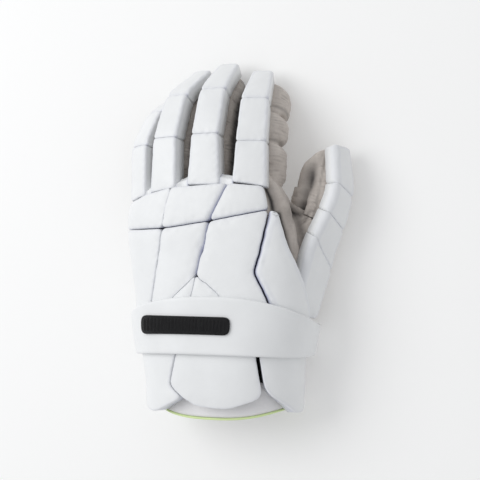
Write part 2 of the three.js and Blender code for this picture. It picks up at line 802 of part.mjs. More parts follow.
// A thin panel on the back of the hand from its middle, length and width
function panelCorners([across, along], length, width) {
  const [u, v] = onPlane([across, along]);
  const signs = [[-1, -1], [1, -1], [1, 1], [-1, 1]];
  return signs.map(([side, end]) => [u + (side * length) / 2, v + (end * width) / 2]);
}

function panelGeometry(corners, seat, thick, rounding, fillet) {
  return padGeometry(corners, {
    gaps: corners.map(() => 0),
    seat: seat - 1,
    thick: seat + thick,
    rounding,
    fillet,
    place: onBack,
    step: 20,
    inner: 2,
    below: 0,
  });
}

// Badge: a plain bar with round ends on the strap
const BADGE_PLACE = [-0.16, 0.41];
const badgeBar = panelGeometry(
  panelCorners(BADGE_PLACE, BADGE_LENGTH, BADGE_WIDTH),
  padStack + STRAP_THICKNESS + SEAT_GAP,
  BADGE_THICKNESS,
  0.5,
  BADGE_WIDTH / 2.2,
);
addPiece("strap_badge", trimmed(badgeBar, [toKernel(strapGeometry(SEAT_GAP))]), "black");

// Cuff: liner, binding, elastic and three flaps
const setBack = (angle) => (CUFF_BOW * (1 - Math.max(0, Math.sin(angle)) ** 2)) / BACK_LENGTH;
const linerEnd = SHELL_START - SEAT_GAP / BACK_LENGTH;
const linerStart = (BINDING_WIDTH + SEAT_GAP) / BACK_LENGTH;
function cuffRing(share, lift, floor) {
  const alongOf = (angle) => {
    const start = linerStart + setBack(angle);
    return start + (linerEnd - start) * share;
  };
  return handRing(alongOf, () => lift, floor);
}
const linerShares = [0, 0.5, 1];
addPiece(
  "cuff_liner",
  loopedSolid([
    ...linerShares.map((share) => cuffRing(share, 0, FLOOR)),
    ...[...linerShares].reverse().map((share) => cuffRing(share, -LINER_WALL, LINER_WALL)),
  ]),
  "lining",
);
const bindingRing = (y, lift, floor) =>
  handRing((angle) => y / BACK_LENGTH + setBack(angle), () => lift, floor);
addPiece(
  "cuff_binding",
  loopedSolid([
    bindingRing(1, BINDING_EXTRA, FLOOR),
    bindingRing(BINDING_WIDTH, BINDING_EXTRA, FLOOR),
    bindingRing(BINDING_WIDTH, -LINER_WALL - BINDING_EXTRA, LINER_WALL),
    bindingRing(0, -LINER_WALL - BINDING_EXTRA, LINER_WALL),
  ]),
  "lime",
);
const linerGrown = toKernel(
  closedTube(linerShares.map((share) => cuffRing(share, SEAT_GAP, FLOOR))),
);
const ELASTIC_PLACE = [0.54, 0.223];
const elasticBand = panelGeometry(
  panelCorners(ELASTIC_PLACE, ELASTIC_LENGTH, ELASTIC_WIDTH),
  SEAT_GAP,
  ELASTIC_THICKNESS,
  0.4,
  2,
);
addPiece("cuff_elastic", trimmed(elasticBand, [linerGrown]), "black");
const flapSeat = ELASTIC_THICKNESS + 2 * SEAT_GAP;

const FLAP_END = PAD_START - SEAM_GAP / BACK_LENGTH;
const FLAP_POINTS = {
  littleEnd: [-1.12, FLAP_END],
  littleSide: [-1.06, 0.1],
  littleCorner: [-0.93, 0.05],
  littleFoot: [-0.6, 0.022],
  innerFoot: [-0.25, 0.1],
  innerSide: [-0.395, 0.15],
  innerEnd: [-0.275, FLAP_END],
  centreFootLittle: [-0.1, 0.066],
  centreFootThumb: [0.26, 0.056],
  centreCorner: [0.57, 0.105],
  centreSide: [0.52, FLAP_END],
  thumbEndInner: [0.545, FLAP_END],
  thumbInner: [0.585, 0.135],
  thumbFoot: [0.87, 0.03],
  thumbCorner: [1.0, 0.04],
  thumbEnd: [1.04, FLAP_END],
};
const FLAPS = {
  cuff_flap_little: {
    corners: [
      "littleEnd",
      "littleSide",
      "littleCorner",
      "littleFoot",
      "innerFoot",
      "innerSide",
      "innerEnd",
    ],
    hub: [-0.66, 0.17],
  },
  cuff_flap_centre: {
    corners: [
      "innerEnd",
      "innerSide",
      "innerFoot",
      "centreFootLittle",
      "centreFootThumb",
      "centreCorner",
      "centreSide",
    ],
  },
  cuff_flap_thumb: {
    corners: ["thumbEndInner", "thumbInner", "thumbFoot", "thumbCorner", "thumbEnd"],
  },
};
for (const [name, { corners, hub }] of Object.entries(FLAPS)) {
  addPiece(
    name,
    padGeometry(
      corners.map((key) => onPlane(FLAP_POINTS[key])),
      {
        gaps: corners.map(() => SEAM_GAP),
        seat: flapSeat,
        thick: flapSeat + FLAP_THICKNESS,
        rounding: 2,
        place: onBack,
        hub: hub && onPlane(hub),
      },
    ),
    "whiteLeather",
  );
}

// The origin lies under the middle of the glove, on the surface that it rests on
const box = new THREE.Box3().setFromObject(glove);
const centre = box.getCenter(new THREE.Vector3());
glove.position.set(-centre.x, -centre.y, -box.min.z);

export default glove;
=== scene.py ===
"""A left-hand lacrosse glove that lies palm down on a pale floor.

Lengths are in millimetres until a mesh is made. +Y runs to the fingertips, +X to the
thumb and +Z off the back of the hand.
"""

import bmesh
import bpy
import numpy as np
from mathutils import Matrix, Vector
from mathutils.geometry import delaunay_2d_cdt


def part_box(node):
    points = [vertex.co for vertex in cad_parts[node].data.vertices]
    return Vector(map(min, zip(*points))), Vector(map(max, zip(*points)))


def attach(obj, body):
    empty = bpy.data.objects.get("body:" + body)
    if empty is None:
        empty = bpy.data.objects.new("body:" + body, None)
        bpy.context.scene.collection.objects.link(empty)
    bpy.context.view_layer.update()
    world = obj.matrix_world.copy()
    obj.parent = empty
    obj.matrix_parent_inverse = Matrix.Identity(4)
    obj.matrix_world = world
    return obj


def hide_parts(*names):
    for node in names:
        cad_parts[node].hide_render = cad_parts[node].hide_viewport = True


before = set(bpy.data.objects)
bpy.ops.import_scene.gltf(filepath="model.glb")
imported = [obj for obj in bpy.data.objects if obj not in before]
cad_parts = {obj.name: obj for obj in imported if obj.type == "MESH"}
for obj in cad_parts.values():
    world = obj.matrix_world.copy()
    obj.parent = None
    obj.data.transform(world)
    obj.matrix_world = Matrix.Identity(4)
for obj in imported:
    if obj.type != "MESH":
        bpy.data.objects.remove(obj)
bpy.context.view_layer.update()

# Sizes of the hand shell
BACK_LENGTH = 184.0
HALF_WIDTH = 66.0
SHELL_HEIGHT = 60.0
HALF_GIRTH = 82.0
SQUARENESS = 2.6
SHELL_WALL = 2.0
SHELL_START = 0.285
NOSE_LENGTH = 5.0

# Sizes of the pads
BACK_PAD = 13.5
BACK_SEAT = 0.2
FINGER_PAD = 12.0
FLAP_THICKNESS = 10.0
PAD_START = 0.3385

# Sizes of the strap, its badge and the cuff
STRAP_THICKNESS = 4.0
STRAP_FOOT = 0.285
STRAP_SIDE_TOP = 0.425
STRAP_RISE = 0.11
BADGE_LENGTH = 76.0
BADGE_WIDTH = 15.0
BADGE_THICKNESS = 1.6
LINER_WALL = 3.0
CUFF_BOW = 8.0
BINDING_WIDTH = 3.2
BINDING_EXTRA = 0.5
LIME_WIDTH = 1.9
ELASTIC_THICKNESS = 2.0
ELASTIC_LENGTH = 24.0
ELASTIC_WIDTH = 21.0

# Sizes of the fingers and the thumb
FINGER_LENGTH = 114.0
PAD_WIDTH = 24.0
STALL_WIDTH = 27.0
STALL_DEPTH = 27.0
STALL_WALL = 1.8
TIP_ROUND = 12.0
BEND_REACH = 10.0
THUMB_LENGTH = 147.0
THUMB_DEPTH = 26.0
THUMB_SPLIT = 0.6
WEB_THICKNESS = 9.0
PINCH_DEPTH = 6.0
PINCH_REACH = 10.0
GUSSET_LENGTH = 10.5

# Clearances
SEAT_GAP = 0.35
SEAM_GAP = 0.3

STRAP_SEAT = STRAP_THICKNESS + SEAT_GAP
SECTIONS = [
    # along  left   right  top    bottom  waist  skew
    (0.00, -0.88, 0.77, 0.93, -0.08, 0.39, 0.0),
    (0.14, -0.88, 0.77, 0.945, -0.08, 0.39, 0.0),
    (0.29, -0.93, 0.79, 0.945, -0.01, 0.42, 0.0),
    (0.41, -0.99, 0.86, 0.935, -0.01, 0.43, 0.0),
    (0.54, -1.01, 0.91, 0.935, 0.045, 0.44, 0.0),
    (0.68, -1.06, 0.925, 0.925, 0.11, 0.48, 0.0),
    (0.82, -1.09, 0.87, 0.92, 0.19, 0.53, 0.03),
    (0.91, -1.08, 0.82, 0.9, 0.26, 0.54, 0.06),
    (1.00, -1.03, 0.77, 0.86, 0.31, 0.54, 0.09),
]


def table_at(rows, place):
    """Smooth curve through the rows of a table whose first column is the place along it."""
    table = np.array(rows, float)
    places, values = table[:, 0], table[:, 1:]
    order = np.arange(len(places))
    before = np.maximum(order - 1, 0)
    after = np.minimum(order + 1, len(places) - 1)
    slopes = (values[after] - values[before]) / (places[after] - places[before])[:, None]
    here = np.clip(place, places[0], places[-1])
    row = np.searchsorted(places[1:-1], here)
    width = (places[row + 1] - places[row])[:, None]
    t = (here - places[row])[:, None] / width
    return (
        (2 * t**3 - 3 * t**2 + 1) * values[row]
        + (t**3 - 2 * t**2 + t) * width * slopes[row]
        + (3 * t**2 - 2 * t**3) * values[row + 1]
        + (t**3 - t**2) * width * slopes[row + 1]
    )


def signed_power(value, power):
    return np.sign(value) * np.abs(value) ** power


def smooth(start, end, value):
    t = np.clip((value - start) / (end - start), 0, 1)
    return t * t * (3 - 2 * t)


def unit(vector):
    return vector / np.linalg.norm(vector, axis=-1, keepdims=True)


def shell_point(along, angle):
    """Point of the shell's outside, angle 0 on the thumb side, a quarter turn at the crest."""
    left, right, top, bottom, waist, skew = table_at(SECTIONS, along).T
    power = 2 / SQUARENESS
    up = signed_power(np.sin(angle), power)
    edge = np.where(up > 0, top - waist, waist - bottom)
    reach = (right - left) / 2 * signed_power(np.cos(angle), power)
    x = ((left + right) / 2 + reach) * HALF_WIDTH
    y = along * BACK_LENGTH + skew * x
    return np.stack([x, y, STRAP_SEAT + (waist + edge * up) * SHELL_HEIGHT], -1)


def lifted_point(along, angle, lift, floor=0.0):
    """The same point moved out along the normal and flattened where it rests."""
    along, angle, lift = np.broadcast_arrays(along, angle, lift)
    step = 0.01
    inside = np.minimum(along, 1 - step)
    around = shell_point(inside, angle + step) - shell_point(inside, angle - step)
    ahead = shell_point(inside + step, angle) - shell_point(inside - step, angle)
    point = shell_point(along, angle) + unit(np.cross(ahead, around)) * lift[:, None]
    point[:, 2] = np.maximum(point[:, 2], floor)
    return point


def angle_of(along, across):
    """Angle of a place across the back: 0 at the crest, 1 thumb side, -1 little-finger side."""
    along, across = np.broadcast_arrays(np.atleast_1d(along).astype(float), across)
    side = np.where(across < 0, -1.0, 1.0)
    far = np.abs(across)
    quarter = np.pi / 2
    steps = 40
    angles = quarter - side[:, None] * quarter * np.linspace(0, 1, steps + 1)
    points = shell_point(np.repeat(along, steps + 1), angles.ravel()).reshape(-1, steps + 1, 3)
    lengths = np.cumsum(np.linalg.norm(np.diff(points, axis=1), axis=2), axis=1)
    lengths = np.pad(lengths, ((0, 0), (1, 0)))
    goal = np.minimum(far, 1) * lengths[:, -1]
    index = np.clip((lengths < goal[:, None]).sum(axis=1), 1, steps)
    rows = np.arange(len(goal))
    low, high = lengths[rows, index - 1], lengths[rows, index]
    inside = quarter - side * quarter * (index - 1 + (goal - low) / (high - low)) / steps
    return np.where(far >= 1, quarter - side * quarter * far, inside)


def on_back(u, v, height):
    """Place on the back of the hand from plane coordinates and a height."""
    along = v / BACK_LENGTH
    return lifted_point(along, angle_of(along, u / HALF_GIRTH), height)


def waves(points, length, seed):
    """Smooth irregular waves between about -1 and 1, as loose cloth has."""
    random = np.random.default_rng(seed)
    total = np.zeros(len(points))
    for turn in range(6):
        direction = unit(random.normal(size=3)) / length * random.uniform(0.6, 1.6)
        total += np.sin(points @ direction * 2 * np.pi + random.uniform(0, 6.28))
    return total / 3


# Meshes
def add_mesh(name, points, faces, material, fields=None):
    """Object from points in millimetres, with extra values for each point."""
    mesh = bpy.data.meshes.new(name)
    metres = (np.asarray(points) + SHIFT) / 1000
    mesh.from_pydata(metres.tolist(), [], [list(map(int, face)) for face in faces])
    for key, values in (fields or {}).items():
        layer = mesh.attributes.new(key, "FLOAT", "POINT")
        layer.data.foreach_set("value", np.asarray(values, np.float32))
    mesh.validate()
    bm = bmesh.new()
    bm.from_mesh(mesh)
    bmesh.ops.recalc_face_normals(bm, faces=bm.faces)
    bm.to_mesh(mesh)
    bm.free()
    mesh.shade_smooth()
    piece = bpy.data.objects.new(name, mesh)
    bpy.context.collection.objects.link(piece)
    piece.data.materials.append(material)
    return piece


def ring_faces(rows, count, looped=False):
    """Faces between closed rings of points that follow each other."""
    faces = []
    for row in range(rows if looped else rows - 1):
        a, b = row * count, (row + 1) % rows * count
        for i in range(count):
            j = (i + 1) % count
            faces.append((a + i, a + j, b + j, b + i))
    return faces


def finish_piece(piece, node):
    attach(piece, "root")
    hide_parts(node)


def outline_of(corners, insets, fillet, step=1.3):
    """Outline of a pad: corners with each edge moved in, round corners and even steps.

    The second result says how much each point belongs to each edge.
    """
    corners = np.array(corners, float)
    insets = np.array(insets, float)
    following = np.roll(corners, -1, axis=0)
    lengths = np.linalg.norm(following - corners, axis=1)
    along = (following - corners) / lengths[:, None]
    inward = np.stack([-along[:, 1], along[:, 0]], -1)
    count = len(corners)
    moved = []
    for i in range(count):
        k = i - 1
        a = corners[i] + inward[i] * insets[i]
        b = corners[i] + inward[k] * insets[k]
        cross = along[k, 0] * along[i, 1] - along[k, 1] * along[i, 0]
        if abs(cross) < 0.02:
            moved.append(a)
            continue
        gap = a - b
        run = (gap[0] * along[i, 1] - gap[1] * along[i, 0]) / cross
        moved.append(b + along[k] * run)
    ring, owners = [], []
    edges = np.eye(count)
    for i in range(count):
        k, after = i - 1, (i + 1) % count
        reach = min(fillet, 0.35 * lengths[i], 0.35 * lengths[k])
        last_reach = min(fillet, 0.35 * lengths[i], 0.35 * lengths[after])
        start = moved[i] - along[k] * reach
        end = moved[i] + along[i] * reach
        for t in np.linspace(0, 1, 5):
            ring.append((1 - t) ** 2 * start + 2 * t * (1 - t) * moved[i] + t**2 * end)
            owners.append(edges[k] * (1 - t) + edges[i] * t)
        finish = moved[after] - along[i] * last_reach
        pieces = max(1, round((lengths[i] - reach - last_reach) / step))
        for j in range(1, pieces):
            ring.append(end + (finish - end) * j / pieces)
            owners.append(edges[i])
    return np.array(ring), np.array(owners)


def line_distance(points, line):
    """Distance of each point from a line with corners."""
    run = np.diff(line, axis=0)
    offset = points[:, None, :] - line[None, :-1]
    share = np.clip((offset * run).sum(-1) / np.maximum((run**2).sum(-1), 1e-9), 0, 1)
    return np.linalg.norm(offset - share[..., None] * run, axis=-1).min(axis=1)


def edge_distance(points, ring):
    """Distance of each point from a closed outline, and whether it lies inside."""
    distance = line_distance(points, np.vstack([ring, ring[:1]]))
    a, b = ring, np.roll(ring, -1, axis=0)
    run = b - a
    x, y = points[:, :1], points[:, 1:]
    crosses = (a[:, 1] > y) != (b[:, 1] > y)
    rise = np.where(np.abs(run[:, 1]) < 1e-12, 1e-12, run[:, 1])
    left = x < a[:, 0] + (y - a[:, 1]) / rise * run[:, 0]
    return distance, (crosses & left).sum(axis=1) % 2 == 1


def filled(ring, pitch):
    """Points and triangles that fill an outline, with the outline's points first."""
    low, high = ring.min(axis=0), ring.max(axis=0)
    rows = np.arange(low[1] + pitch / 2, high[1], pitch * 0.866)
    grid = [
        (x + (k % 2) * pitch / 2, y)
        for k, y in enumerate(rows)
        for x in np.arange(low[0], high[0], pitch)
    ]
    grid = np.array(grid)
    distance, inside = edge_distance(grid, ring)
    grid = grid[inside & (distance > pitch * 0.7)]
    points = np.concatenate([ring, grid])
    loop = [list(range(len(ring)))]
    made = delaunay_2d_cdt([Vector(p) for p in points], [], loop, 1, 1e-6)
    crossings = [i for i, members in enumerate(made[3]) if not members]
    if crossings:
        points = np.concatenate([points, [tuple(made[0][i]) for i in crossings]])
    added = {i: len(points) - len(crossings) + k for k, i in enumerate(crossings)}
    source = [added[i] if i in added else members[0] for i, members in enumerate(made[3])]
    faces = [tuple(source[i] for i in face) for face in made[2]]
    return points, [face for face in faces if len(set(face)) == 3]


# Edges of a pad: gap to the seam line, how far the rounded upper edge goes in and down, and its tint:
# how much painted shade darkens the edge's wall
EDGES = {
    # kind     gap   in   down  tint
    "faint": (0.1, 0.5, 0.6, 0.1),
    "soft": (0.15, 1.0, 1.3, 0.3),
    "crease": (0.05, 0.7, 0.65, 0.12),
    "seam": (0.9, 1.0, 1.8, 0.6),
    "deep": (0.5, 2.0, 2.4, 1.5),
    "slope": (0.4, 3.8, 4.0, 1.7),
    "bank": (0.5, 4.6, 4.2, 1.6),
    "crisp": (0.4, 0.9, 1.2, 0.9),
    "free": (0.15, 2.2, 2.2, 0.0),
    "flap": (0.3, 1.1, 1.3, 0.55),
    "none": (0.02, 0.3, 0.25, 0.0),
    "bevel": (0.15, 4.5, 5.5, 0.0),
}
EDGE_STEPS = np.linspace(0, np.pi / 2, 7)
LEDGE_DEPTH = 5.0
LEDGE_SHARE = 0.8  # most of a pad's thickness that its side wall may take
# Painted shade on a pad's wall reaches its full tint this far below the top
TINT_DEPTH = 4.0  # the crease colour is full at this depth
CROWN_REACH = 9.0  # the top rises over this distance from the edge
WOBBLE_LENGTH = 11.0
PUCKER_LENGTH = 6.5
PUCKER_REACH = 3.0
WELD_DISTANCE = 0.00002  # metres


def make_pad(
    name,
    corners,
    place,
    seat,
    thick,
    paint,
    edges,
    fillet=4.0,
    crown=0.6,
    pitch=1.7,
    wobble=0.12,
    pucker=0.22,
    dents=None,
):
    """A foam pad sewn into leather: closed form with a rounded edge, a crowned top, and painted shade
    on its edge walls, along its rim and in its tucks.
    """
    gap, inward, down, tint = np.array([EDGES[kind] for kind in edges]).T
    ledge = thick - min(max(LEDGE_DEPTH, down.max() + 1.0), (thick - seat) * LEDGE_SHARE)
    levels = [(gap, 1.0), (gap, 0.0)]
    levels += [(gap + inward * (1 - np.cos(turn)), turn) for turn in EDGE_STEPS]
    rings, heights, wall_shades = [], [], []
    for order, (insets, turn) in enumerate(levels):
        ring, owners = outline_of(corners, insets, fillet)
        rings.append(ring)
        if order < 2:
            heights.append(np.full(len(ring), seat if order == 0 else ledge))
        else:
            heights.append(thick - owners @ down * (1 - np.sin(turn)))
        # Painted shade: each edge's wall darkens by its tint as it drops below the top
        wall_shades.append(owners @ tint * np.clip((thick - heights[-1]) / TINT_DEPTH, 0, 1))
    top, top_faces = filled(rings[-1], pitch)
    bottom, bottom_faces = filled(rings[0], pitch * 2)
    count = len(rings[0])
    flat = np.concatenate([*rings[:-1], top, bottom])
    height = np.concatenate([*heights[:-1], np.full(len(top), thick), np.full(len(bottom), seat)])
    seam = np.concatenate([*wall_shades[:-1], np.zeros(len(top) + len(bottom))])
    first = (len(rings) - 1) * count
    start = first + len(top)
    distance, inside = edge_distance(flat, rings[-1])
    inner = np.where(inside, distance, 0.0)
    level = np.column_stack([flat, np.zeros(len(flat))])
    drift = [wobble * waves(level, WOBBLE_LENGTH, seed) for seed in (5, 6)]
    raised = (height > ledge + 0.01).astype(float)
    height = height + raised * crown * (1 - (1 - np.clip(inner / CROWN_REACH, 0, 1)) ** 2)
    tuck_shade = 0.0
    if dents is not None:
        dent = dents(flat, inner)
        # Painted shade in the tuck dents
        tuck_shade = 0.5 * np.clip(-dent, 0, 1) * raised
        height = height + raised * dent
    puckers = waves(level, PUCKER_LENGTH, len(name))
    height = height + raised * pucker * puckers * np.exp(-inner / PUCKER_REACH)
    # Painted shade along the rim of the top where it starts to round over
    seam = np.maximum(seam, 0.2 * np.exp(-inner / 1.2) * raised * (tint.max() > 0))
    seam = np.maximum(seam, tuck_shade)
    faces = ring_faces(len(rings), count)
    faces += [tuple(first + i for i in face) for face in top_faces]
    faces += [tuple(start + i for i in face[::-1]) for face in bottom_faces]
    faces += [(start + i, start + (i + 1) % count, (i + 1) % count, i) for i in range(count)]
    points = place(flat[:, 0] + drift[0], flat[:, 1] + drift[1], height)
    piece = add_mesh(name + "_sewn", points, faces, paint, {"seam": seam})
    weld(piece)
    finish_piece(piece, name)


def weld(piece):
    bm = bmesh.new()
    bm.from_mesh(piece.data)
    bmesh.ops.remove_doubles(bm, verts=bm.verts, dist=WELD_DISTANCE)
    bmesh.ops.recalc_face_normals(bm, faces=bm.faces)
    bm.to_mesh(piece.data)
    bm.free()


# Shift from these sizes to the frame: the cuff's binding is measured in both
def setback(angle):
    """How far the sides of the rim stand back, as a share of BACK_LENGTH."""
    return CUFF_BOW * (1 - np.maximum(0, np.sin(angle)) ** 2) / BACK_LENGTH


RIM_STEPS = 28
cad_angles = np.arange(RIM_STEPS) * 2 * np.pi / RIM_STEPS
rim = lifted_point(BINDING_WIDTH / BACK_LENGTH + setback(cad_angles), cad_angles, BINDING_EXTRA)
foot = lifted_point(setback(cad_angles), cad_angles, -LINER_WALL - BINDING_EXTRA, LINER_WALL)
binding_low = Vector(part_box("cuff_binding")[0]) * 1000
SHIFT = np.array([binding_low.x - rim[:, 0].min(), binding_low.y - foot[:, 1].min(), 0.0])


# Materials
def material(name, color, roughness):
    made = bpy.data.materials.new(name)
    made.use_nodes = True
    shader = made.node_tree.nodes["Principled BSDF"]
    shader.inputs["Base Color"].default_value = (*color, 1)
    shader.inputs["Roughness"].default_value = roughness
    return made, made.node_tree, shader


def add_node(tree, kind, values=None, **settings):
    """A node with its settings, and its inputs set from numbers or linked from sockets."""
    made = tree.nodes.new(kind)
    for key, value in settings.items():
        setattr(made, key, value)
    for key, value in (values or {}).items():
        if isinstance(value, bpy.types.NodeSocket):
            tree.links.new(value, made.inputs[key])
        else:
            made.inputs[key].default_value = value
    return made


def mixed(tree, share, first, second):
    """Colour between two colours or sockets."""
    made = add_node(tree, "ShaderNodeMix", data_type="RGBA")
    tree.links.new(share, made.inputs[0])
    for index, value in ((6, first), (7, second)):
        if isinstance(value, bpy.types.NodeSocket):
            tree.links.new(value, made.inputs[index])
        else:
            made.inputs[index].default_value = (*value, 1)
    return made.outputs[2]


def ranged(tree, value, low, high, to_low, to_high):
    made = add_node(tree, "ShaderNodeMapRange", {0: value, 1: low, 2: high, 3: to_low, 4: to_high})
    return made.outputs[0]


def noise_of(tree, scale, detail=4.0, roughness=0.55):
    place = add_node(tree, "ShaderNodeTexCoord").outputs["Object"]
    values = {"Vector": place, "Scale": scale, "Detail": detail, "Roughness": roughness}
    return add_node(tree, "ShaderNodeTexNoise", values).outputs["Fac"]


def bumped(tree, height, strength, distance, normal=None):
    values = {"Height": height, "Strength": strength, "Distance": distance}
    if normal is not None:
        values["Normal"] = normal
    return add_node(tree, "ShaderNodeBump", values).outputs["Normal"]


def leather_material(name, color, crease, roughness=0.42):
    """Smooth coated leather: fine grain, soft unevenness, and painted shade, cooler and darker, in its
    creases and grooves.
    """
    made, tree, shader = material(name, color, roughness)
    place = add_node(tree, "ShaderNodeTexCoord").outputs["Object"]
    cells = add_node(tree, "ShaderNodeTexVoronoi", {"Vector": place, "Scale": 1100.0})
    seam = add_node(tree, "ShaderNodeAttribute", attribute_name="seam").outputs["Fac"]
    cloud = noise_of(tree, 35.0, 3.0)
    tint = mixed(tree, ranged(tree, cloud, 0.35, 0.65, 0.0, 1.0), [c * 0.965 for c in color], color)
    # Painted shade: the cool dark colour is mixed in where the shade attribute marks grooves, creases
    # and pad walls
    base = mixed(tree, ranged(tree, seam, 0.1, 1.0, 0.0, 1.0), tint, crease)
    tree.links.new(base, shader.inputs["Base Color"])
    rough = ranged(tree, noise_of(tree, 180.0), 0.3, 0.7, roughness - 0.06, roughness + 0.1)
    tree.links.new(rough, shader.inputs["Roughness"])
    grain = bumped(tree, cells.outputs["Distance"], 0.25, 0.00012)
    tree.links.new(bumped(tree, cloud, 0.35, 0.0012, grain), shader.inputs["Normal"])
    shader.inputs["Specular IOR Level"].default_value = 0.4
    return made


# Colour of the painted shade in the suede's folds, hollows and seams
SUEDE_SHADE_COLOR = (0.035, 0.033, 0.033)


def suede_material(name, light, dark):
    """Brushed leather: fine nap, blotches where it was stroked, a soft sheen, and painted shade where
    the shade attribute marks folds, hollows and seams.
    """
    made, tree, shader = material(name, light, 0.92)
    stroke = noise_of(tree, 55.0, 5.0, 0.65)
    nap = noise_of(tree, 1400.0, 3.0, 0.7)
    blotch = mixed(tree, ranged(tree, stroke, 0.36, 0.64, 0.0, 1.0), dark, light)
    fold = add_node(tree, "ShaderNodeAttribute", attribute_name="seam").outputs["Fac"]
    speck = mixed(tree, ranged(tree, nap, 0.3, 0.7, 0.0, 0.35), blotch, [c * 1.25 for c in light])
    # Painted shade: the dark colour is mixed in where the shade attribute marks folds, hollows and
    # seams
    shade = mixed(tree, ranged(tree, fold, 0.0, 1.0, 0.0, 1.0), speck, SUEDE_SHADE_COLOR)
    tree.links.new(shade, shader.inputs["Base Color"])
    soft = bumped(tree, noise_of(tree, 240.0, 4.0), 0.35, 0.0006)
    tree.links.new(bumped(tree, nap, 0.5, 0.00025, soft), shader.inputs["Normal"])
    shader.inputs["Sheen Weight"].default_value = 0.25
    shader.inputs["Sheen Roughness"].default_value = 0.5
    shader.inputs["Specular IOR Level"].default_value = 0.2
    return made


def woven_material(name, color, roughness, pitch, strength=0.5):
    """Knitted or woven trim: two crossed sets of threads."""
    made, tree, shader = material(name, color, roughness)
    place = add_node(tree, "ShaderNodeTexCoord").outputs["Object"]
    values = {"Vector": place, "Scale": 1 / pitch, "Distortion": 1.5, "Detail": 1.0}
    threads = [
        add_node(tree, "ShaderNodeTexWave", values, bands_direction=direction).outputs["Fac"]
        for direction in ("X", "Y")
    ]
    cross = add_node(tree, "ShaderNodeMath", {0: threads[0], 1: threads[1]}, operation="MULTIPLY")
    base = mixed(tree, cross.outputs[0], [c * 0.86 for c in color], color)
    tree.links.new(base, shader.inputs["Base Color"])
    tree.links.new(bumped(tree, cross.outputs[0], strength, 0.0003), shader.inputs["Normal"])
    shader.inputs["Specular IOR Level"].default_value = 0.2
    return made


# The white leather's second colour is the painted shade of its grooves and creases
WHITE = leather_material("white_leather", (0.84, 0.85, 0.855), (0.50, 0.52, 0.66))
SUEDE = suede_material("suede_leather", (0.61, 0.56, 0.515), (0.46, 0.412, 0.376))
LINING = woven_material("cuff_lining", (0.95, 0.94, 0.94), 0.85, 0.002, 0.3)
LIME = woven_material("lime_trim", (0.82, 0.97, 0.5), 0.7, 0.003)
BLACK = woven_material("black_trim", (0.006, 0.006, 0.007), 0.33, 0.002, 0.8)


# Rings round the hand, even along the back and repeated under the palm
def ring_angles(count):
    shares = np.linspace(1, -1, count // 2 + 1)
    back = angle_of(np.full(len(shares), 0.4), shares)
    return np.concatenate([back, -back[1:-1][::-1]])


RING_STEPS = 168
AROUND = ring_angles(RING_STEPS)


def hand_ring(along, lift, floor=0.0):
    return lifted_point(np.broadcast_to(along, AROUND.shape), AROUND, lift, floor)


def hand_surface(lift, start, floor, rows=44):
    """Closed rings of the hand from the cuff to its rounded front."""
    rings = [hand_ring(along, lift, floor) for along in np.linspace(start, 1, rows)]
    for share in (0.35, 0.7, 0.92, 1.0):
        nose = NOSE_LENGTH * share
        drop = 0.6 * NOSE_LENGTH * (1 - np.sqrt(1 - share**2 * 0.96))
        ring = hand_ring(1 + nose / BACK_LENGTH, lift - drop, floor)
        ring[:, 1] += min(lift, 1) * share
        rings.append(ring)
    return rings


def tube_object(name, rings, paint=SUEDE, fields=None):
    """Closed tube of rings with a fan at each end."""
    count = len(rings[0])
    points = np.concatenate([*rings, [rings[0].mean(axis=0)], [rings[-1].mean(axis=0)]])
    faces = ring_faces(len(rings), count)
    last = (len(rings) - 1) * count
    for i in range(count):
        j = (i + 1) % count
        faces.append((j, i, len(points) - 2))
        faces.append((last + i, last + j, len(points) - 1))
    return add_mesh(name, points, faces, paint, fields)


# Paths of the fingers and the thumb
def make_path(origin, yaw, roll, dip, lengths, pitches):
    """Seat line on the back of a finger, bent at its creases: a place function and its sizes."""
    yaw, roll, dip = np.radians([yaw, roll, dip])
    bends = np.radians(pitches)
    heading = unit(np.array([np.sin(yaw), np.cos(yaw), -np.sin(dip)]))
    level = np.array([np.cos(yaw), -np.sin(yaw), 0.0])
    outward = np.array([0, 0, np.cos(roll)]) + level * np.sin(roll)
    outward = unit(outward - heading * (outward @ heading))
    creases = np.cumsum(lengths)[:-1]
    total = float(np.sum(lengths))

    def directions(s):
        pitch = bends[0] + sum(
            (bends[i + 1] - bends[i]) * smooth(crease - BEND_REACH, crease + BEND_REACH, s)
            for i, crease in enumerate(creases)
        )
        pitch = np.atleast_1d(pitch)[:, None]
        along = heading * np.cos(pitch) - outward * np.sin(pitch)
        up = outward * np.cos(pitch) + heading * np.sin(pitch)
        return along, up, np.cross(along, up)

    knots = np.arange(int(np.ceil(total + TIP_ROUND)))
    walked = np.cumsum(directions(knots + 0.5)[0], axis=0)
    line = origin + np.concatenate([np.zeros((1, 3)), walked])
    start = directions(np.zeros(1))[0][0]

    def place(t, s, height):
        t, s, height = [np.atleast_1d(v).astype(float) for v in np.broadcast_arrays(t, s, height)]
        along, up, side = directions(s)
        index = np.clip(np.floor(s).astype(int), 0, len(line) - 2)
        part = (s - index)[:, None]
        point = line[index] * (1 - part) + line[index + 1] * part
        point = np.where(s[:, None] <= 0, origin + start * s[:, None], point)
        return point + side * t[:, None] + up * height[:, None]

    return {"place": place, "creases": creases, "total": total}


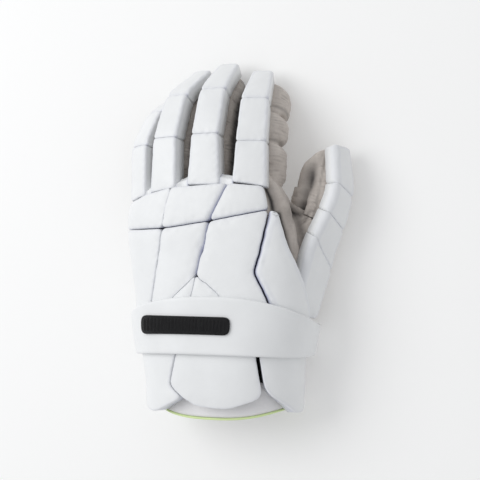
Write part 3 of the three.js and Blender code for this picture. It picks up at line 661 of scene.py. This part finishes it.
FINGERS = [
    {
        "name": "index",
        "root": (0.55, 0.973),
        "turn": (0.5, 12.0),
        "lengths": (0.321, 0.29, 0.335),
        "pitches": (8, 21, 55),
        "pads": (0.59, 0.52, 0.48, 0.36),
        "near": (4.3, 0.1),
        "stall": (0.42, 0.9, 1.0),
        "lobes": (0.03, 0.35, 0.58),
    },
    {
        "name": "middle",
        "root": (0.014, 1.0),
        "turn": (-1.0, 0.0),
        "lengths": (0.358, 0.318, 0.318),
        "pitches": (6, 24, 56),
        "pads": (0.6, 0.5, 0.48, 0.38),
        "near": (1.0, 0.3),
        "stall": (0.44, 0.54, 1.0),
    },
    {
        "name": "ring",
        "root": (-0.477, 0.99),
        "turn": (-1.5, -14.0),
        "lengths": (0.38, 0.296, 0.335),
        "pitches": (5, 24, 59),
        "pads": (0.55, 0.5, 0.45, 0.34),
        "near": (0.0, 3.2),
        "stall": (0.39, 0.46, 0.96),
    },
    {
        "name": "little",
        "root": (-0.83, 0.965),
        "turn": (-6.0, -28.0),
        "lengths": (0.38, 0.25, 0.26),
        "pitches": (7, 34, 64),
        "pads": (0.42, 0.42, 0.38, 0.25),
        "near": (0.0, 3.2),
        "stall": (0.4, 0.34, 0.82),
    },
]
for finger in FINGERS:
    across, along = finger["root"]
    origin = lifted_point(along, angle_of(min(along, 1), np.array([across])), 0.0)[0]
    yaw, roll = finger["turn"]
    lengths = np.array(finger["lengths"]) * FINGER_LENGTH
    finger["path"] = make_path(origin, yaw, roll, 0.0, lengths, finger["pitches"])
    low, high, deep = finger["stall"]
    finger["widths"] = [
        (share, low * STALL_WIDTH * narrow, high * STALL_WIDTH * narrow)
        for share, narrow in ((0, 1), (0.75, 0.97), (1, 0.86))
    ]
    finger["depths"] = [(s, STALL_DEPTH * deep * d) for s, d in ((0, 1), (0.6, 0.95), (1, 0.8))]
    finger["pinches"] = [share * FINGER_LENGTH for share in finger.get("lobes", ())]

THUMB = {
    "root": (1.0, 0.39),
    "lift": -1.0,
    "turn": (21.5, 69.0, 1.0),
    "lengths": (0.439, 0.192, 0.153, 0.226),
    "pitches": (9, -2, 4, 33),
    "slants": (0.86, 0.45, 0.3),
    "upper": (0.72, 0.68, 0.55, 0.47, 0.39),
    "lower": (0.48, 0.63, 0.55, 0.47, 0.39),
    "start": 12.0,
    "pinches": (),
}
across, along = THUMB["root"]
origin = lifted_point(along, angle_of(along, np.array([across])), THUMB["lift"])[0]
lengths = np.array(THUMB["lengths"]) * THUMB_LENGTH
thumb_path = make_path(origin, *THUMB["turn"], lengths, THUMB["pitches"])
THUMB["path"] = thumb_path
THUMB["widths"] = [
    (s, w * STALL_WIDTH, w * STALL_WIDTH) for s, w in ((0, 0.42), (0.3, 0.5), (1, 0.43))
]
THUMB["depths"] = [
    (s, d * THUMB_DEPTH)
    for s, d in ((0, 1), (0.35, 1), (0.62, 1.4), (0.8, 1.4), (0.93, 1.1), (1, 0.8))
]


def stall_ring(stall, s, inset, steps):
    """Ring of a finger's sleeve at a place along its path, shrunk by an inset."""
    path, widths, depths = stall["path"], stall["widths"], stall["depths"]
    cap_start = path["total"] - inset - TIP_ROUND
    cap = np.clip((s - cap_start) / TIP_ROUND, 0, 0.995)
    round_off = np.sqrt(1 - cap**2)
    low, high = table_at(widths, np.array([s / path["total"]]))[0]
    deep = table_at(depths, np.array([s / path["total"]]))[0][0]
    depth = (deep - 2 * inset) * (0.25 + 0.75 * round_off)
    angle = np.arange(steps) * 2 * np.pi / steps
    across = signed_power(np.cos(angle), 2 / 2.4)
    far = [min(1.0, abs(s - pinch) / PINCH_REACH) for pinch in stall["pinches"]]
    pull = PINCH_DEPTH * sum((1 - share) ** 2 for share in far)
    reach = np.where(across < 0, low, high - pull) - inset
    height = -inset - depth / 2 + depth / 2 * signed_power(np.sin(angle), 2 / 2.4)
    ring = path["place"](reach * across * (0.3 + 0.7 * round_off), np.full(steps, s), height)
    ring[:, 2] = np.maximum(ring[:, 2], inset)
    return ring


def stall_rings(stall, start, end, inset, steps=56, pitch=1.6):
    total = stall["path"]["total"]
    cap_start = total - inset - TIP_ROUND
    last = min(cap_start, end)
    places = list(np.linspace(start, last, max(8, int((last - start) / pitch))))
    if end >= total:
        places += [cap_start + TIP_ROUND * np.sin(turn) for turn in np.linspace(0, np.pi / 2, 9)[1:]]
    return [stall_ring(stall, s, inset, steps) for s in places]


# Angle round a finger's sleeve of its stitched edge, from its thumb side up, and how wide it is
WELT_ANGLE = 1.06
WELT_WIDTH = 0.06
CREASE_WIDTH = 1.3
RIB_PITCH = 2.7
STALL_START = 3.0

# Hollows pressed into the suede, as seen from above, each darkened with painted shade
HOLLOWS = [
    # x     y      turn   long  wide  depth  shade
    (67.5, 191.0, -14.0, 12.5, 6.2, 4.8, 0.9),
    (62.5, 180.0, -8.0, 9.0, 4.5, 3.0, 0.65),
    (59.5, 167.5, 75.0, 4.2, 9.0, 6.5, 1.0),
    (61.0, 168.5, 75.0, 2.6, 7.0, 2.5, 1.0),
    (67.0, 161.5, 50.0, 1.6, 5.5, 2.0, 0.5),
    (64.0, 156.5, 35.0, 1.4, 4.5, 1.6, 0.4),
]
# Seams sewn into the suede: corners as seen from above, width, depth and painted shade in the groove
SEWN = [
    (((81.5, 215.0), (79.0, 196.0), (76.5, 180.0), (75.5, 168.0), (72.0, 159.0)), 1.0, 0.7, 0.4),
]


def pressed(points, outward):
    """How far the hollows and seams press the suede in, and how much painted shade darkens them."""
    facing = smooth(0.0, 0.45, outward[:, 2])
    drop = np.zeros(len(points))
    shade = np.zeros(len(points))
    for x, y, turn, long, wide, depth, dark in HOLLOWS:
        turn = np.radians(turn)
        ahead = np.array([-np.sin(turn), np.cos(turn)])
        offset = points[:, :2] - [x, y]
        along = offset @ ahead / long
        across = (offset[:, 0] * ahead[1] - offset[:, 1] * ahead[0]) / wide
        weight = np.exp(-(along**2) - across**2) * facing
        drop += depth * weight
        shade = np.maximum(shade, dark * weight)
    for corners, width, depth, dark in SEWN:
        weight = np.exp(-((line_distance(points[:, :2], np.array(corners)) / width) ** 2)) * facing
        drop += depth * weight
        shade = np.maximum(shade, dark * weight)
    return drop, shade


def spread(rings):
    """Points of some rings, the middles of the rings, and which way is out at each point."""
    means = np.array([ring.mean(axis=0) for ring in rings])
    points = np.concatenate(rings)
    return points, means, unit(points - np.repeat(means, len(rings[0]), axis=0))


def make_stall(name, stall, start, seed, deep=0.0):
    """Soft sleeve of a finger: wrinkled outside, smooth inside, open where it joins the hand, with
    painted shade in its folds, hollows and creases.
    """
    total = stall["path"]["total"]
    outer = stall_rings(stall, start, total, 0.0, pitch=0.8)
    inner = stall_rings(stall, start, total, STALL_WALL, pitch=3.0)
    count = len(outer[0])
    points, means, outward = spread(outer)
    run = np.cumsum(np.linalg.norm(np.diff(means, axis=0, prepend=means[:1]), axis=1))
    run = np.repeat(run, count)
    folds = waves(points * [0.35, 1.0, 1.0], 7.0, seed) + 0.5 * waves(points, 3.4, seed + 9)
    ribs = np.sin(2 * np.pi * run / RIB_PITCH + 2.2 * waves(points, 16.0, seed + 3))
    ribs *= (0.16 + 0.12 * deep) * np.clip(0.6 + 0.6 * waves(points, 12.0, seed + 5), 0, 1)
    drop, dark = pressed(points, outward)
    move = 0.45 * np.clip(folds, -1.6, 0.8) + ribs - drop
    cuts = [np.exp(-(((run + start - pinch) / CREASE_WIDTH) ** 2)) for pinch in stall["pinches"]]
    crease = sum(cuts, np.zeros(len(points)))
    angle = np.tile(np.arange(count) * 2 * np.pi / count, len(outer))
    welt = np.exp(-(((angle - WELT_ANGLE) / WELT_WIDTH) ** 2))
    move = move - 0.6 * crease - 0.5 * welt
    low = -np.sin(angle)
    # Painted shade down the lower side of a deep sleeve, where the neighbouring fingers keep the light
    # off
    hidden = deep * (0.2 + 0.8 * smooth(-0.6, 0.0, low)) * smooth(0.95, 0.75, low)
    # Painted shade in the troughs of folds and ribs, in pressed hollows, in the pinch creases and
    # along the welt groove
    shade = np.clip(-folds - 0.5, 0, 1) * 0.25 + np.clip(-ribs, 0, 1) * 1.2
    shade = np.clip(np.maximum.reduce([shade, dark, hidden, 0.42 * crease, 0.2 * welt]), 0, 1)
    points = points + outward * move[:, None]
    points[:, 2] = np.maximum(points[:, 2], 0.0)
    folded = points.reshape(len(outer), count, 3)
    lining, _, outward = spread(inner)
    lining = lining - outward * pressed(lining, outward)[0][:, None]
    inner = list(lining.reshape(len(inner), count, 3))
    rows = [*folded, *inner[::-1]]
    points = np.concatenate([*rows, [folded[-1].mean(axis=0)], [inner[-1].mean(axis=0)]])
    faces = ring_faces(len(rows), count, looped=True)
    ends = (len(folded) - 1) * count
    joint = {tuple(sorted(face)) for face in ring_faces(len(rows), count)[ends : ends + count]}
    faces = [face for face in faces if tuple(sorted(face)) not in joint]
    for start_index, hub in ((ends, len(points) - 2), (ends + count, len(points) - 1)):
        for i in range(count):
            faces.append((start_index + i, start_index + (i + 1) % count, hub))
    shade = np.concatenate([shade, np.zeros(len(points) - len(shade))])
    piece = add_mesh(name + "_sewn", points, faces, SUEDE, {"seam": shade})
    finish_piece(piece, name)


for seed, finger in enumerate(FINGERS):
    # Sleeves without pinches get painted shade down their lower sides
    deep = 0.0 if finger["pinches"] else 1.0
    make_stall(finger["name"] + "_stall", finger, STALL_START, seed + 1, deep)
make_stall("thumb_stall", THUMB, THUMB_SPLIT * THUMB_LENGTH + SEAT_GAP, 7)


# Palm: hand, thumb root and web fused, hollowed for the hand that wears it
def fused(name, parts, voxel):
    """One closed surface round several overlapping closed ones."""
    base = parts[0]
    with bpy.context.temp_override(
        active_object=base, selected_editable_objects=parts, selected_objects=parts
    ):
        bpy.ops.object.join()
    base.name = name
    remesh = base.modifiers.new("remesh", "REMESH")
    remesh.mode = "VOXEL"
    remesh.voxel_size = voxel / 1000
    ease = base.modifiers.new("ease", "SMOOTH")
    ease.factor = 0.5
    ease.iterations = 3
    return base


def applied(piece):
    """The piece with its modifiers made part of its mesh."""
    shown = piece.evaluated_get(bpy.context.evaluated_depsgraph_get())
    mesh = bpy.data.meshes.new_from_object(shown)
    piece.modifiers.clear()
    old = piece.data
    piece.data = mesh
    bpy.data.meshes.remove(old)
    return piece


def vertex_values(piece, key):
    flat = np.zeros(len(piece.data.vertices) * 3, np.float32)
    piece.data.vertices.foreach_get(key, flat)
    return flat.reshape(-1, 3)


def coordinates(piece):
    return vertex_values(piece, "co") * 1000 - SHIFT


def set_coordinates(piece, points):
    metres = ((points + SHIFT) / 1000).astype(np.float32)
    piece.data.vertices.foreach_set("co", metres.ravel())
    piece.data.update()


# Where the web leaves the shell and the thumb, in shares of their lengths
WEB = {"shell": (0.62, 0.91), "thumb": (0.3, 0.57)}
PALM_VOXEL = 1.3
HOLLOW_VOXEL = 1.6
THUMB_ROOT_START = 8.0
THUMB_OPEN = 10.0


def web_object():
    radius = WEB_THICKNESS / 2
    along = np.array(WEB["shell"])
    corners = list(lifted_point(along, angle_of(along, np.ones(2)), -radius))
    for share in WEB["thumb"]:
        corners.append(thumb_path["place"](0, share * thumb_path["total"], -THUMB_DEPTH / 2)[0])
    bm = bmesh.new()
    for corner in corners:
        place = Matrix.Translation(Vector((corner + SHIFT) / 1000))
        bmesh.ops.create_uvsphere(bm, u_segments=16, v_segments=10, radius=radius / 1000, matrix=place)
    bmesh.ops.convex_hull(bm, input=bm.verts)
    mesh = bpy.data.meshes.new("web")
    bm.to_mesh(mesh)
    bm.free()
    piece = bpy.data.objects.new("web", mesh)
    bpy.context.collection.objects.link(piece)
    return piece


# Seam between the padded back and the suede of the thumb side
SIDE_SEAM = [(0.74, 0.98), (0.75, 0.88), (0.81, 0.87), (0.835, 0.726), (0.93, 0.55), (1.04, 0.42)]
PLANE = np.array([HALF_GIRTH, BACK_LENGTH])


def necked(points):
    """The hand drawn in where the index finger's sleeve starts."""
    side = smooth(30.0, 50.0, points[:, 0]) * smooth(-4.0, 8.0, 60.0 - points[:, 2])
    narrow = smooth(172.0, 190.0, points[:, 1])
    return points - np.outer(6.0 * side * narrow, [1.0, 0.0, 0.0])


def make_palm():
    split = THUMB_SPLIT * THUMB_LENGTH
    outside = [
        tube_object("hand_outside", hand_surface(0.0, SHELL_START, 0.0)),
        tube_object("thumb_outside", stall_rings(THUMB, THUMB_ROOT_START, split, 0.0)),
        web_object(),
    ]
    inside = [
        tube_object("hand_inside", hand_surface(-SHELL_WALL, SHELL_START - 0.02, SHELL_WALL)),
        tube_object("thumb_inside", stall_rings(THUMB, THUMB_OPEN, split + 10, STALL_WALL)),
    ]
    for finger in FINGERS:
        hollow = stall_rings(finger, -10.0, 20.0, STALL_WALL)
        inside.append(tube_object(finger["name"] + "_inside", hollow))
    outer = applied(fused("palm_shell_sewn", outside, PALM_VOXEL))
    inner = applied(fused("palm_hollow", inside, HOLLOW_VOXEL))
    lining = coordinates(inner)
    ways = vertex_values(inner, "normal")
    set_coordinates(inner, necked(lining - ways * pressed(lining, ways)[0][:, None]))
    points = coordinates(outer)
    depth = waves(points * [1.0, 0.6, 1.0], 11.0, 21) + 0.6 * waves(points, 5.0, 22)
    fold = 0.5 * np.clip(depth, -1.4, 0.6)
    normals = vertex_values(outer, "normal")
    drop, shade = pressed(points, normals)
    # Painted shade: a dark band along the side seam by the pads, on the welt's far flank, in the
    # pressed hollows and in the fold troughs
    seam_line = line_distance(points, on_back(*(PLANE * SIDE_SEAM).T, 0.0))
    shade = np.maximum(shade, np.exp(-((seam_line / 2.0) ** 2)))
    flank_shade = 0.5 * np.exp(-(((seam_line - 17.0) / 2.2) ** 2)) * smooth(176.0, 168.0, points[:, 1])
    shade = np.maximum(shade, flank_shade)
    welt = 4.6 * np.exp(-(((seam_line - 8.0) / 4.5) ** 2)) * smooth(-0.3, 0.3, normals[:, 2])
    shade = np.maximum(shade, np.clip(-depth - 0.5, 0, 1) * 0.2)
    layer = outer.data.attributes.new("seam", "FLOAT", "POINT")
    layer.data.foreach_set("value", shade.astype(np.float32))
    moved = necked(points + normals * (fold + welt - drop)[:, None])
    moved[:, 2] = np.maximum(moved[:, 2], 0.0)
    rim = smooth(0, 6, moved[:, 1] - SHELL_START * BACK_LENGTH)[:, None]
    set_coordinates(outer, points * (1 - rim) + moved * rim)
    cut = outer.modifiers.new("hollow", "BOOLEAN")
    cut.operation = "DIFFERENCE"
    cut.object = inner
    cut.solver = "EXACT"
    applied(outer)
    bpy.data.objects.remove(inner)
    outer.data.materials.clear()
    outer.data.materials.append(SUEDE)
    outer.data.shade_smooth()
    finish_piece(outer, "palm_shell")


make_palm()

# Seam points of the back, across and along in shares of HALF_GIRTH and BACK_LENGTH
SEAMS = {
    "outerTop": (-1.1, 0.93),
    "littleRoot": (-0.9, 0.943),
    "littleTop": (-0.7, 0.985),
    "ringTop": (-0.37, 1.008),
    "dividerTop": (0.33, 1.0),
    "indexTop": (0.7, 0.975),
    "outerFoot": (-1.12, 0.832),
    "softFoot": (-0.43, 0.828),
    "dividerFoot": (0.105, 0.85),
    "indexFoot": (0.71, 0.882),
    "outerBend": (-1.14, 0.6),
    "outerStart": (-1.14, PAD_START),
    "ringStart": (-0.66, PAD_START),
    "fan": (-0.087, 0.622),
    "fanLeft": (-0.365, 0.516),
    "fanLeftStart": (-0.45, PAD_START),
    "fanMiddleStart": (-0.25, PAD_START),
    "fanRight": (0.16, 0.541),
    "fanRightStart": (0.33, PAD_START),
    "zigzag": (0.483, 0.639),
    "zigzagStart": (0.76, PAD_START),
    "kiteTop": (0.775, 0.872),
    "kiteBend": (0.8, 0.726),
    "kiteSide": (0.9, 0.55),
    "kiteStart": (1.04, PAD_START),
}
# Corners counterclockwise, and the kind of each edge by its first letter
BACK_PADS = {
    "knuckle_pad_little": ("outerTop outerFoot softFoot ringTop littleTop littleRoot", "rdnsss"),
    "knuckle_pad_ring": ("ringTop softFoot dividerFoot dividerTop", "ndls"),
    "knuckle_pad_index": ("dividerTop dividerFoot indexFoot indexTop", "cdrs"),
    "back_pad_little": ("outerFoot outerBend outerStart ringStart softFoot", "rrrss"),
    "back_pad_ring": ("softFoot ringStart fanLeftStart fanLeft fan dividerFoot", "srttls"),
    "back_pad_centre": (
        "dividerFoot fan fanRight fanRightStart zigzagStart zigzag indexFoot",
        "cttrccs",
    ),
    "fan_pad_left": ("fan fanLeft fanLeftStart fanMiddleStart", "ttrt"),
    "fan_pad_right": ("fan fanMiddleStart fanRightStart fanRight", "trtt"),
    "thumb_side_pad": (
        "indexFoot zigzag zigzagStart kiteStart kiteSide kiteBend kiteTop",
        "bbrrrrr",
    ),
}
EDGE_LETTERS = {
    "s": "soft",
    "t": "faint",
    "d": "deep",
    "l": "slope",
    "b": "bank",
    "c": "crisp",
    "r": "free",
    "n": "none",
}

for name, (corners, letters) in BACK_PADS.items():
    places = np.array([SEAMS[corner] for corner in corners.split()]) * PLANE
    kinds = [EDGE_LETTERS[letter] for letter in letters]
    make_pad(name, places, on_back, BACK_SEAT, BACK_PAD, WHITE, edges=kinds)


# Finger pads
def finger_pad(name, path, near, far, edges):
    corners = np.array([*near, *far])
    tucks = corners[1:3] * [0.93, 1.0]

    def dents(flat, inner):
        offset = (flat[:, None] - tucks[None]) @ [[1.0, 0.5], [0.0, 1.6]]
        far = np.linalg.norm(offset, axis=2).min(axis=1)
        return -1.0 * np.exp(-((far / 2.6) ** 2))

    make_pad(
        name,
        corners,
        path["place"],
        SEAT_GAP,
        FINGER_PAD,
        WHITE,
        fillet=2.5,
        pitch=1.5,
        dents=dents,
        edges=edges,
    )


for finger in FINGERS:
    path = finger["path"]
    places = [0, *path["creases"], path["total"]]
    halves = [share * PAD_WIDTH for share in finger["pads"]]
    for i, joint in enumerate(("base", "middle", "tip")):
        skew = finger["near"] if joint == "base" else (0.0, 0.0)
        near = [(-halves[i], places[i] + skew[0]), (halves[i], places[i] + skew[1])]
        far = [(halves[i + 1], places[i + 1]), (-halves[i + 1], places[i + 1])]
        last = "free" if joint == "tip" else "crease"
        first = "seam" if joint == "base" else "crease"
        edges = (first, "free", last, "free")
        finger_pad(f"{finger['name']}_pad_{joint}", path, near, far, edges)

thumb_places = [THUMB["start"], *thumb_path["creases"], thumb_path["total"]]
thumb_slants = [0, *THUMB["slants"], 0]
for i, joint in enumerate(("metacarpal", "base", "middle", "tip")):
    edges = []
    for k, sides in ((i, (-1, 1)), (i + 1, (1, -1))):
        row = []
        for side in sides:
            reach = side * (THUMB["upper"] if side < 0 else THUMB["lower"])[k] * PAD_WIDTH
            row.append((reach, thumb_places[k] - thumb_slants[k] * reach))
        edges.append(row)
    last = "free" if joint == "tip" else "crease"
    finger_pad(f"thumb_pad_{joint}", thumb_path, *edges, ("crease", "free", last, "bevel"))


# Leather between the roots of neighbouring fingers
def make_gusset(left, right):
    rings = []
    sides = np.linspace(0, 1, 12)
    for share in np.linspace(0, 1, 14):
        s = GUSSET_LENGTH * share
        top = FINGER_PAD - 1.6 - 5.0 * smooth(0.6, 1.0, share)
        ring = []
        for levels, order in ((top, sides), (3.0, sides[::-1])):
            near = left["path"]["place"](left["pads"][0] * PAD_WIDTH - 1.0, s, levels)
            far = right["path"]["place"](1.0 - right["pads"][0] * PAD_WIDTH, s, levels)
            line = near + (far - near) * order[:, None]
            if levels == top:
                line[:, 2] -= 1.2 * np.sin(np.pi * order) ** 2
            ring.extend(line)
        rings.append(np.array(ring))
    # Painted shade along both sides where the gusset meets the pads
    side_shade = np.tile([*np.abs(2 * sides - 1) ** 3, *(0 * sides)], len(rings))
    seam = np.append(0.7 * side_shade, [0.0, 0.0])
    piece = tube_object(f"{left['name']}_gusset", rings, WHITE, {"seam": seam})
    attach(piece, "root")


for right, left in zip(FINGERS[:3], FINGERS[1:]):
    make_gusset(left, right)


def loop_piece(node, rings, paint):
    """Closed loop round the hand from rings that go round its section."""
    faces = ring_faces(len(rings), len(AROUND), looped=True)
    finish_piece(add_mesh(node + "_sewn", np.concatenate(rings), faces, paint), node)


# Wrist strap
def across_of(angle):
    turn = (np.pi / 2 - angle) / (np.pi / 2)
    return np.where(turn < -2, turn + 4, turn)


STRAP_CLEARANCE = 0.8
PAD_STACK = BACK_PAD + STRAP_CLEARANCE
STRAP_EDGE = 0.035  # share of the strap's width that each rounded edge takes
INNER_FLOOR = STRAP_THICKNESS * 0.6


def strap_top(angle):
    far = np.minimum(np.abs(across_of(angle) - 0.05), 1)
    return STRAP_SIDE_TOP + STRAP_RISE * (1 - far**1.8)


def strap_inner(angle):
    across = across_of(angle)
    leave = np.where(across < 0, 1.17, 1.08)
    far = smooth(leave, leave + 0.42, np.abs(across))
    return PAD_STACK + (SEAT_GAP - PAD_STACK) * far


def strap_ring(share, lift, floor):
    along = STRAP_FOOT + (strap_top(AROUND) - STRAP_FOOT) * share
    return hand_ring(along, strap_inner(AROUND) + lift, floor)


def make_strap():
    near, far = STRAP_EDGE, 1 - STRAP_EDGE
    turns = np.linspace(0, np.pi, 7)[1:-1]
    section = [(share, STRAP_THICKNESS) for share in np.linspace(near, far, 26)]
    for turn in turns:
        lift = STRAP_THICKNESS / 2 * (1 + np.cos(turn))
        section.append((far + STRAP_EDGE * np.sin(turn), lift))
    section += [(share, 0.0) for share in np.linspace(far, near, 12)]
    for turn in turns:
        lift = STRAP_THICKNESS / 2 * (1 - np.cos(turn))
        section.append((near - STRAP_EDGE * np.sin(turn), lift))
    rings = [
        strap_ring(share, lift, INNER_FLOOR * (1 - lift / STRAP_THICKNESS))
        for share, lift in section
    ]
    loop_piece("wrist_strap", rings, WHITE)


make_strap()


# Badge: a plain bar with round ends and fine ribs
BADGE_PLACE = (-0.16, 0.41)
BADGE_RIB_PITCH = 3.0
ELASTIC_PLACE = (0.54, 0.223)
TRIM_SEAT = 0.1


def panel_corners(place, length, width):
    u, v = np.array(place) * PLANE
    signs = ((-1, -1), (1, -1), (1, 1), (-1, 1))
    return [(u + side * length / 2, v + end * width / 2) for side, end in signs]


def badge_ribs(flat, inner):
    return 0.25 * np.cos(flat[:, 0] * 2 * np.pi / BADGE_RIB_PITCH) * smooth(1.5, 2.5, inner)


badge_seat = PAD_STACK + STRAP_THICKNESS
make_pad(
    "strap_badge",
    panel_corners(BADGE_PLACE, BADGE_LENGTH, BADGE_WIDTH),
    on_back,
    badge_seat - TRIM_SEAT,
    badge_seat + SEAT_GAP + BADGE_THICKNESS,
    BLACK,
    fillet=BADGE_WIDTH / 2.2,
    edges=["faint"] * 4,
    crown=0.2,
    pitch=0.7,
    pucker=0.0,
    wobble=0.0,
    dents=badge_ribs,
)
make_pad(
    "cuff_elastic",
    panel_corners(ELASTIC_PLACE, ELASTIC_LENGTH, ELASTIC_WIDTH),
    on_back,
    TRIM_SEAT,
    SEAT_GAP + ELASTIC_THICKNESS,
    BLACK,
    fillet=2.0,
    edges=["faint"] * 4,
    crown=0.1,
)

# Cuff
LINER_START = (LIME_WIDTH + SEAT_GAP) / BACK_LENGTH
LINER_END = SHELL_START - SEAT_GAP / BACK_LENGTH


def cuff_ring(share, lift, floor):
    start = LINER_START + setback(AROUND)
    return hand_ring(start + (LINER_END - start) * share, lift, floor)


def make_cuff():
    shares = np.linspace(0, 1, 26)
    rings = [cuff_ring(share, 0.0, 0.0) for share in shares]
    rings += [cuff_ring(share, -LINER_WALL, LINER_WALL) for share in shares[::-1]]
    loop_piece("cuff_liner", rings, LINING)
    rings = []
    thick = LINER_WALL + 2 * BINDING_EXTRA
    for turn in np.linspace(0, 2 * np.pi, 17)[:-1]:
        across = BINDING_EXTRA - thick / 2 + thick / 2 * signed_power(np.cos(turn), 0.7)
        y = LIME_WIDTH / 2 * (1 + signed_power(np.sin(turn), 0.7))
        floor = LINER_WALL * (BINDING_EXTRA - across) / thick
        rings.append(hand_ring(y / BACK_LENGTH + setback(AROUND), across, floor))
    loop_piece("cuff_binding", rings, LIME)


make_cuff()

FLAP_END = PAD_START - SEAM_GAP / BACK_LENGTH
FLAP_POINTS = {
    "littleEnd": (-1.12, FLAP_END),
    "littleSide": (-1.06, 0.1),
    "littleCorner": (-0.93, 0.05),
    "littleFoot": (-0.6, 0.022),
    "innerFoot": (-0.25, 0.1),
    "innerSide": (-0.395, 0.15),
    "innerEnd": (-0.275, FLAP_END),
    "centreFootLittle": (-0.1, 0.066),
    "centreFootThumb": (0.26, 0.056),
    "centreCorner": (0.57, 0.105),
    "centreSide": (0.52, FLAP_END),
    "thumbEndInner": (0.545, FLAP_END),
    "thumbInner": (0.585, 0.135),
    "thumbFoot": (0.87, 0.03),
    "thumbCorner": (1.0, 0.04),
    "thumbEnd": (1.04, FLAP_END),
}
FLAPS = {
    "cuff_flap_little": "littleEnd littleSide littleCorner littleFoot innerFoot innerSide innerEnd",
    "cuff_flap_centre": (
        "innerEnd innerSide innerFoot centreFootLittle centreFootThumb centreCorner centreSide"
    ),
    "cuff_flap_thumb": "thumbEndInner thumbInner thumbFoot thumbCorner thumbEnd",
}
flap_seat = ELASTIC_THICKNESS + 2 * SEAT_GAP
for name, corners in FLAPS.items():
    places = np.array([FLAP_POINTS[corner] for corner in corners.split()]) * PLANE
    make_pad(
        name,
        places,
        on_back,
        flap_seat,
        flap_seat + FLAP_THICKNESS,
        WHITE,
        edges=["flap"] * len(places),
        fillet=7.0,
    )

# Floor, light and camera
FLOOR_GLOW = 0.22
SKY_STRENGTH = 0.62
CAMERA_TILT = 24.0
CAMERA_DISTANCE = 1.2
VIEW_CENTRE = (11.85, 142.4, 38.0)
# name, place, size, power, colour
LIGHTS = [
    ("key", (-0.95, 0.45, 1.25), 1.3, 12.8, (1.0, 1.0, 1.0)),
    ("fill", (0.9, 0.1, 0.8), 1.4, 0.2, (0.98, 0.98, 1.0)),
]
LIGHT_TARGET = (0.0, 0.0, 0.03)

bpy.ops.mesh.primitive_plane_add(size=8.0, location=(0, 0, 0))
floor = bpy.context.object
floor.name = "floor"
floor_paint, _, floor_shader = material("floor_paint", (0.74, 0.74, 0.735), 0.9)
# The floor glows: painted light that softens the glove's cast shadow and lights it from below
floor_shader.inputs["Emission Color"].default_value = (1.0, 1.0, 0.995, 1)
floor_shader.inputs["Emission Strength"].default_value = FLOOR_GLOW
floor.data.materials.append(floor_paint)


def add_light(name, place, size, power, color):
    light = bpy.data.lights.new(name, "AREA")
    light.shape = "DISK"
    light.size = size
    light.energy = power
    light.color = color
    made = bpy.data.objects.new(name, light)
    bpy.context.collection.objects.link(made)
    made.location = place
    aim = Vector(LIGHT_TARGET) - Vector(place)
    made.rotation_euler = aim.to_track_quat("-Z", "Y").to_euler()


for light_row in LIGHTS:
    add_light(*light_row)

world = bpy.context.scene.world or bpy.data.worlds.new("world")
bpy.context.scene.world = world
world.use_nodes = True
sky = world.node_tree.nodes["Background"]
sky.inputs["Color"].default_value = (0.97, 0.98, 1.0, 1)
sky.inputs["Strength"].default_value = SKY_STRENGTH

tilt = np.radians(CAMERA_TILT)
back = Vector((np.sin(tilt), 0, np.cos(tilt)))
right = Vector((np.cos(tilt), 0, -np.sin(tilt)))
target = Vector((VIEW_CENTRE + SHIFT) / 1000)
camera_data = bpy.data.cameras.new("camera")
camera_data.lens = 112.5
camera_data.sensor_width = 36.0
camera = bpy.data.objects.new("camera", camera_data)
bpy.context.collection.objects.link(camera)
axes = Matrix((right, Vector((0, 1, 0)), back)).transposed()
camera.matrix_world = Matrix.Translation(target + back * CAMERA_DISTANCE) @ axes.to_4x4()
bpy.context.scene.camera = camera
bpy.context.scene.view_settings.view_transform = "Standard"
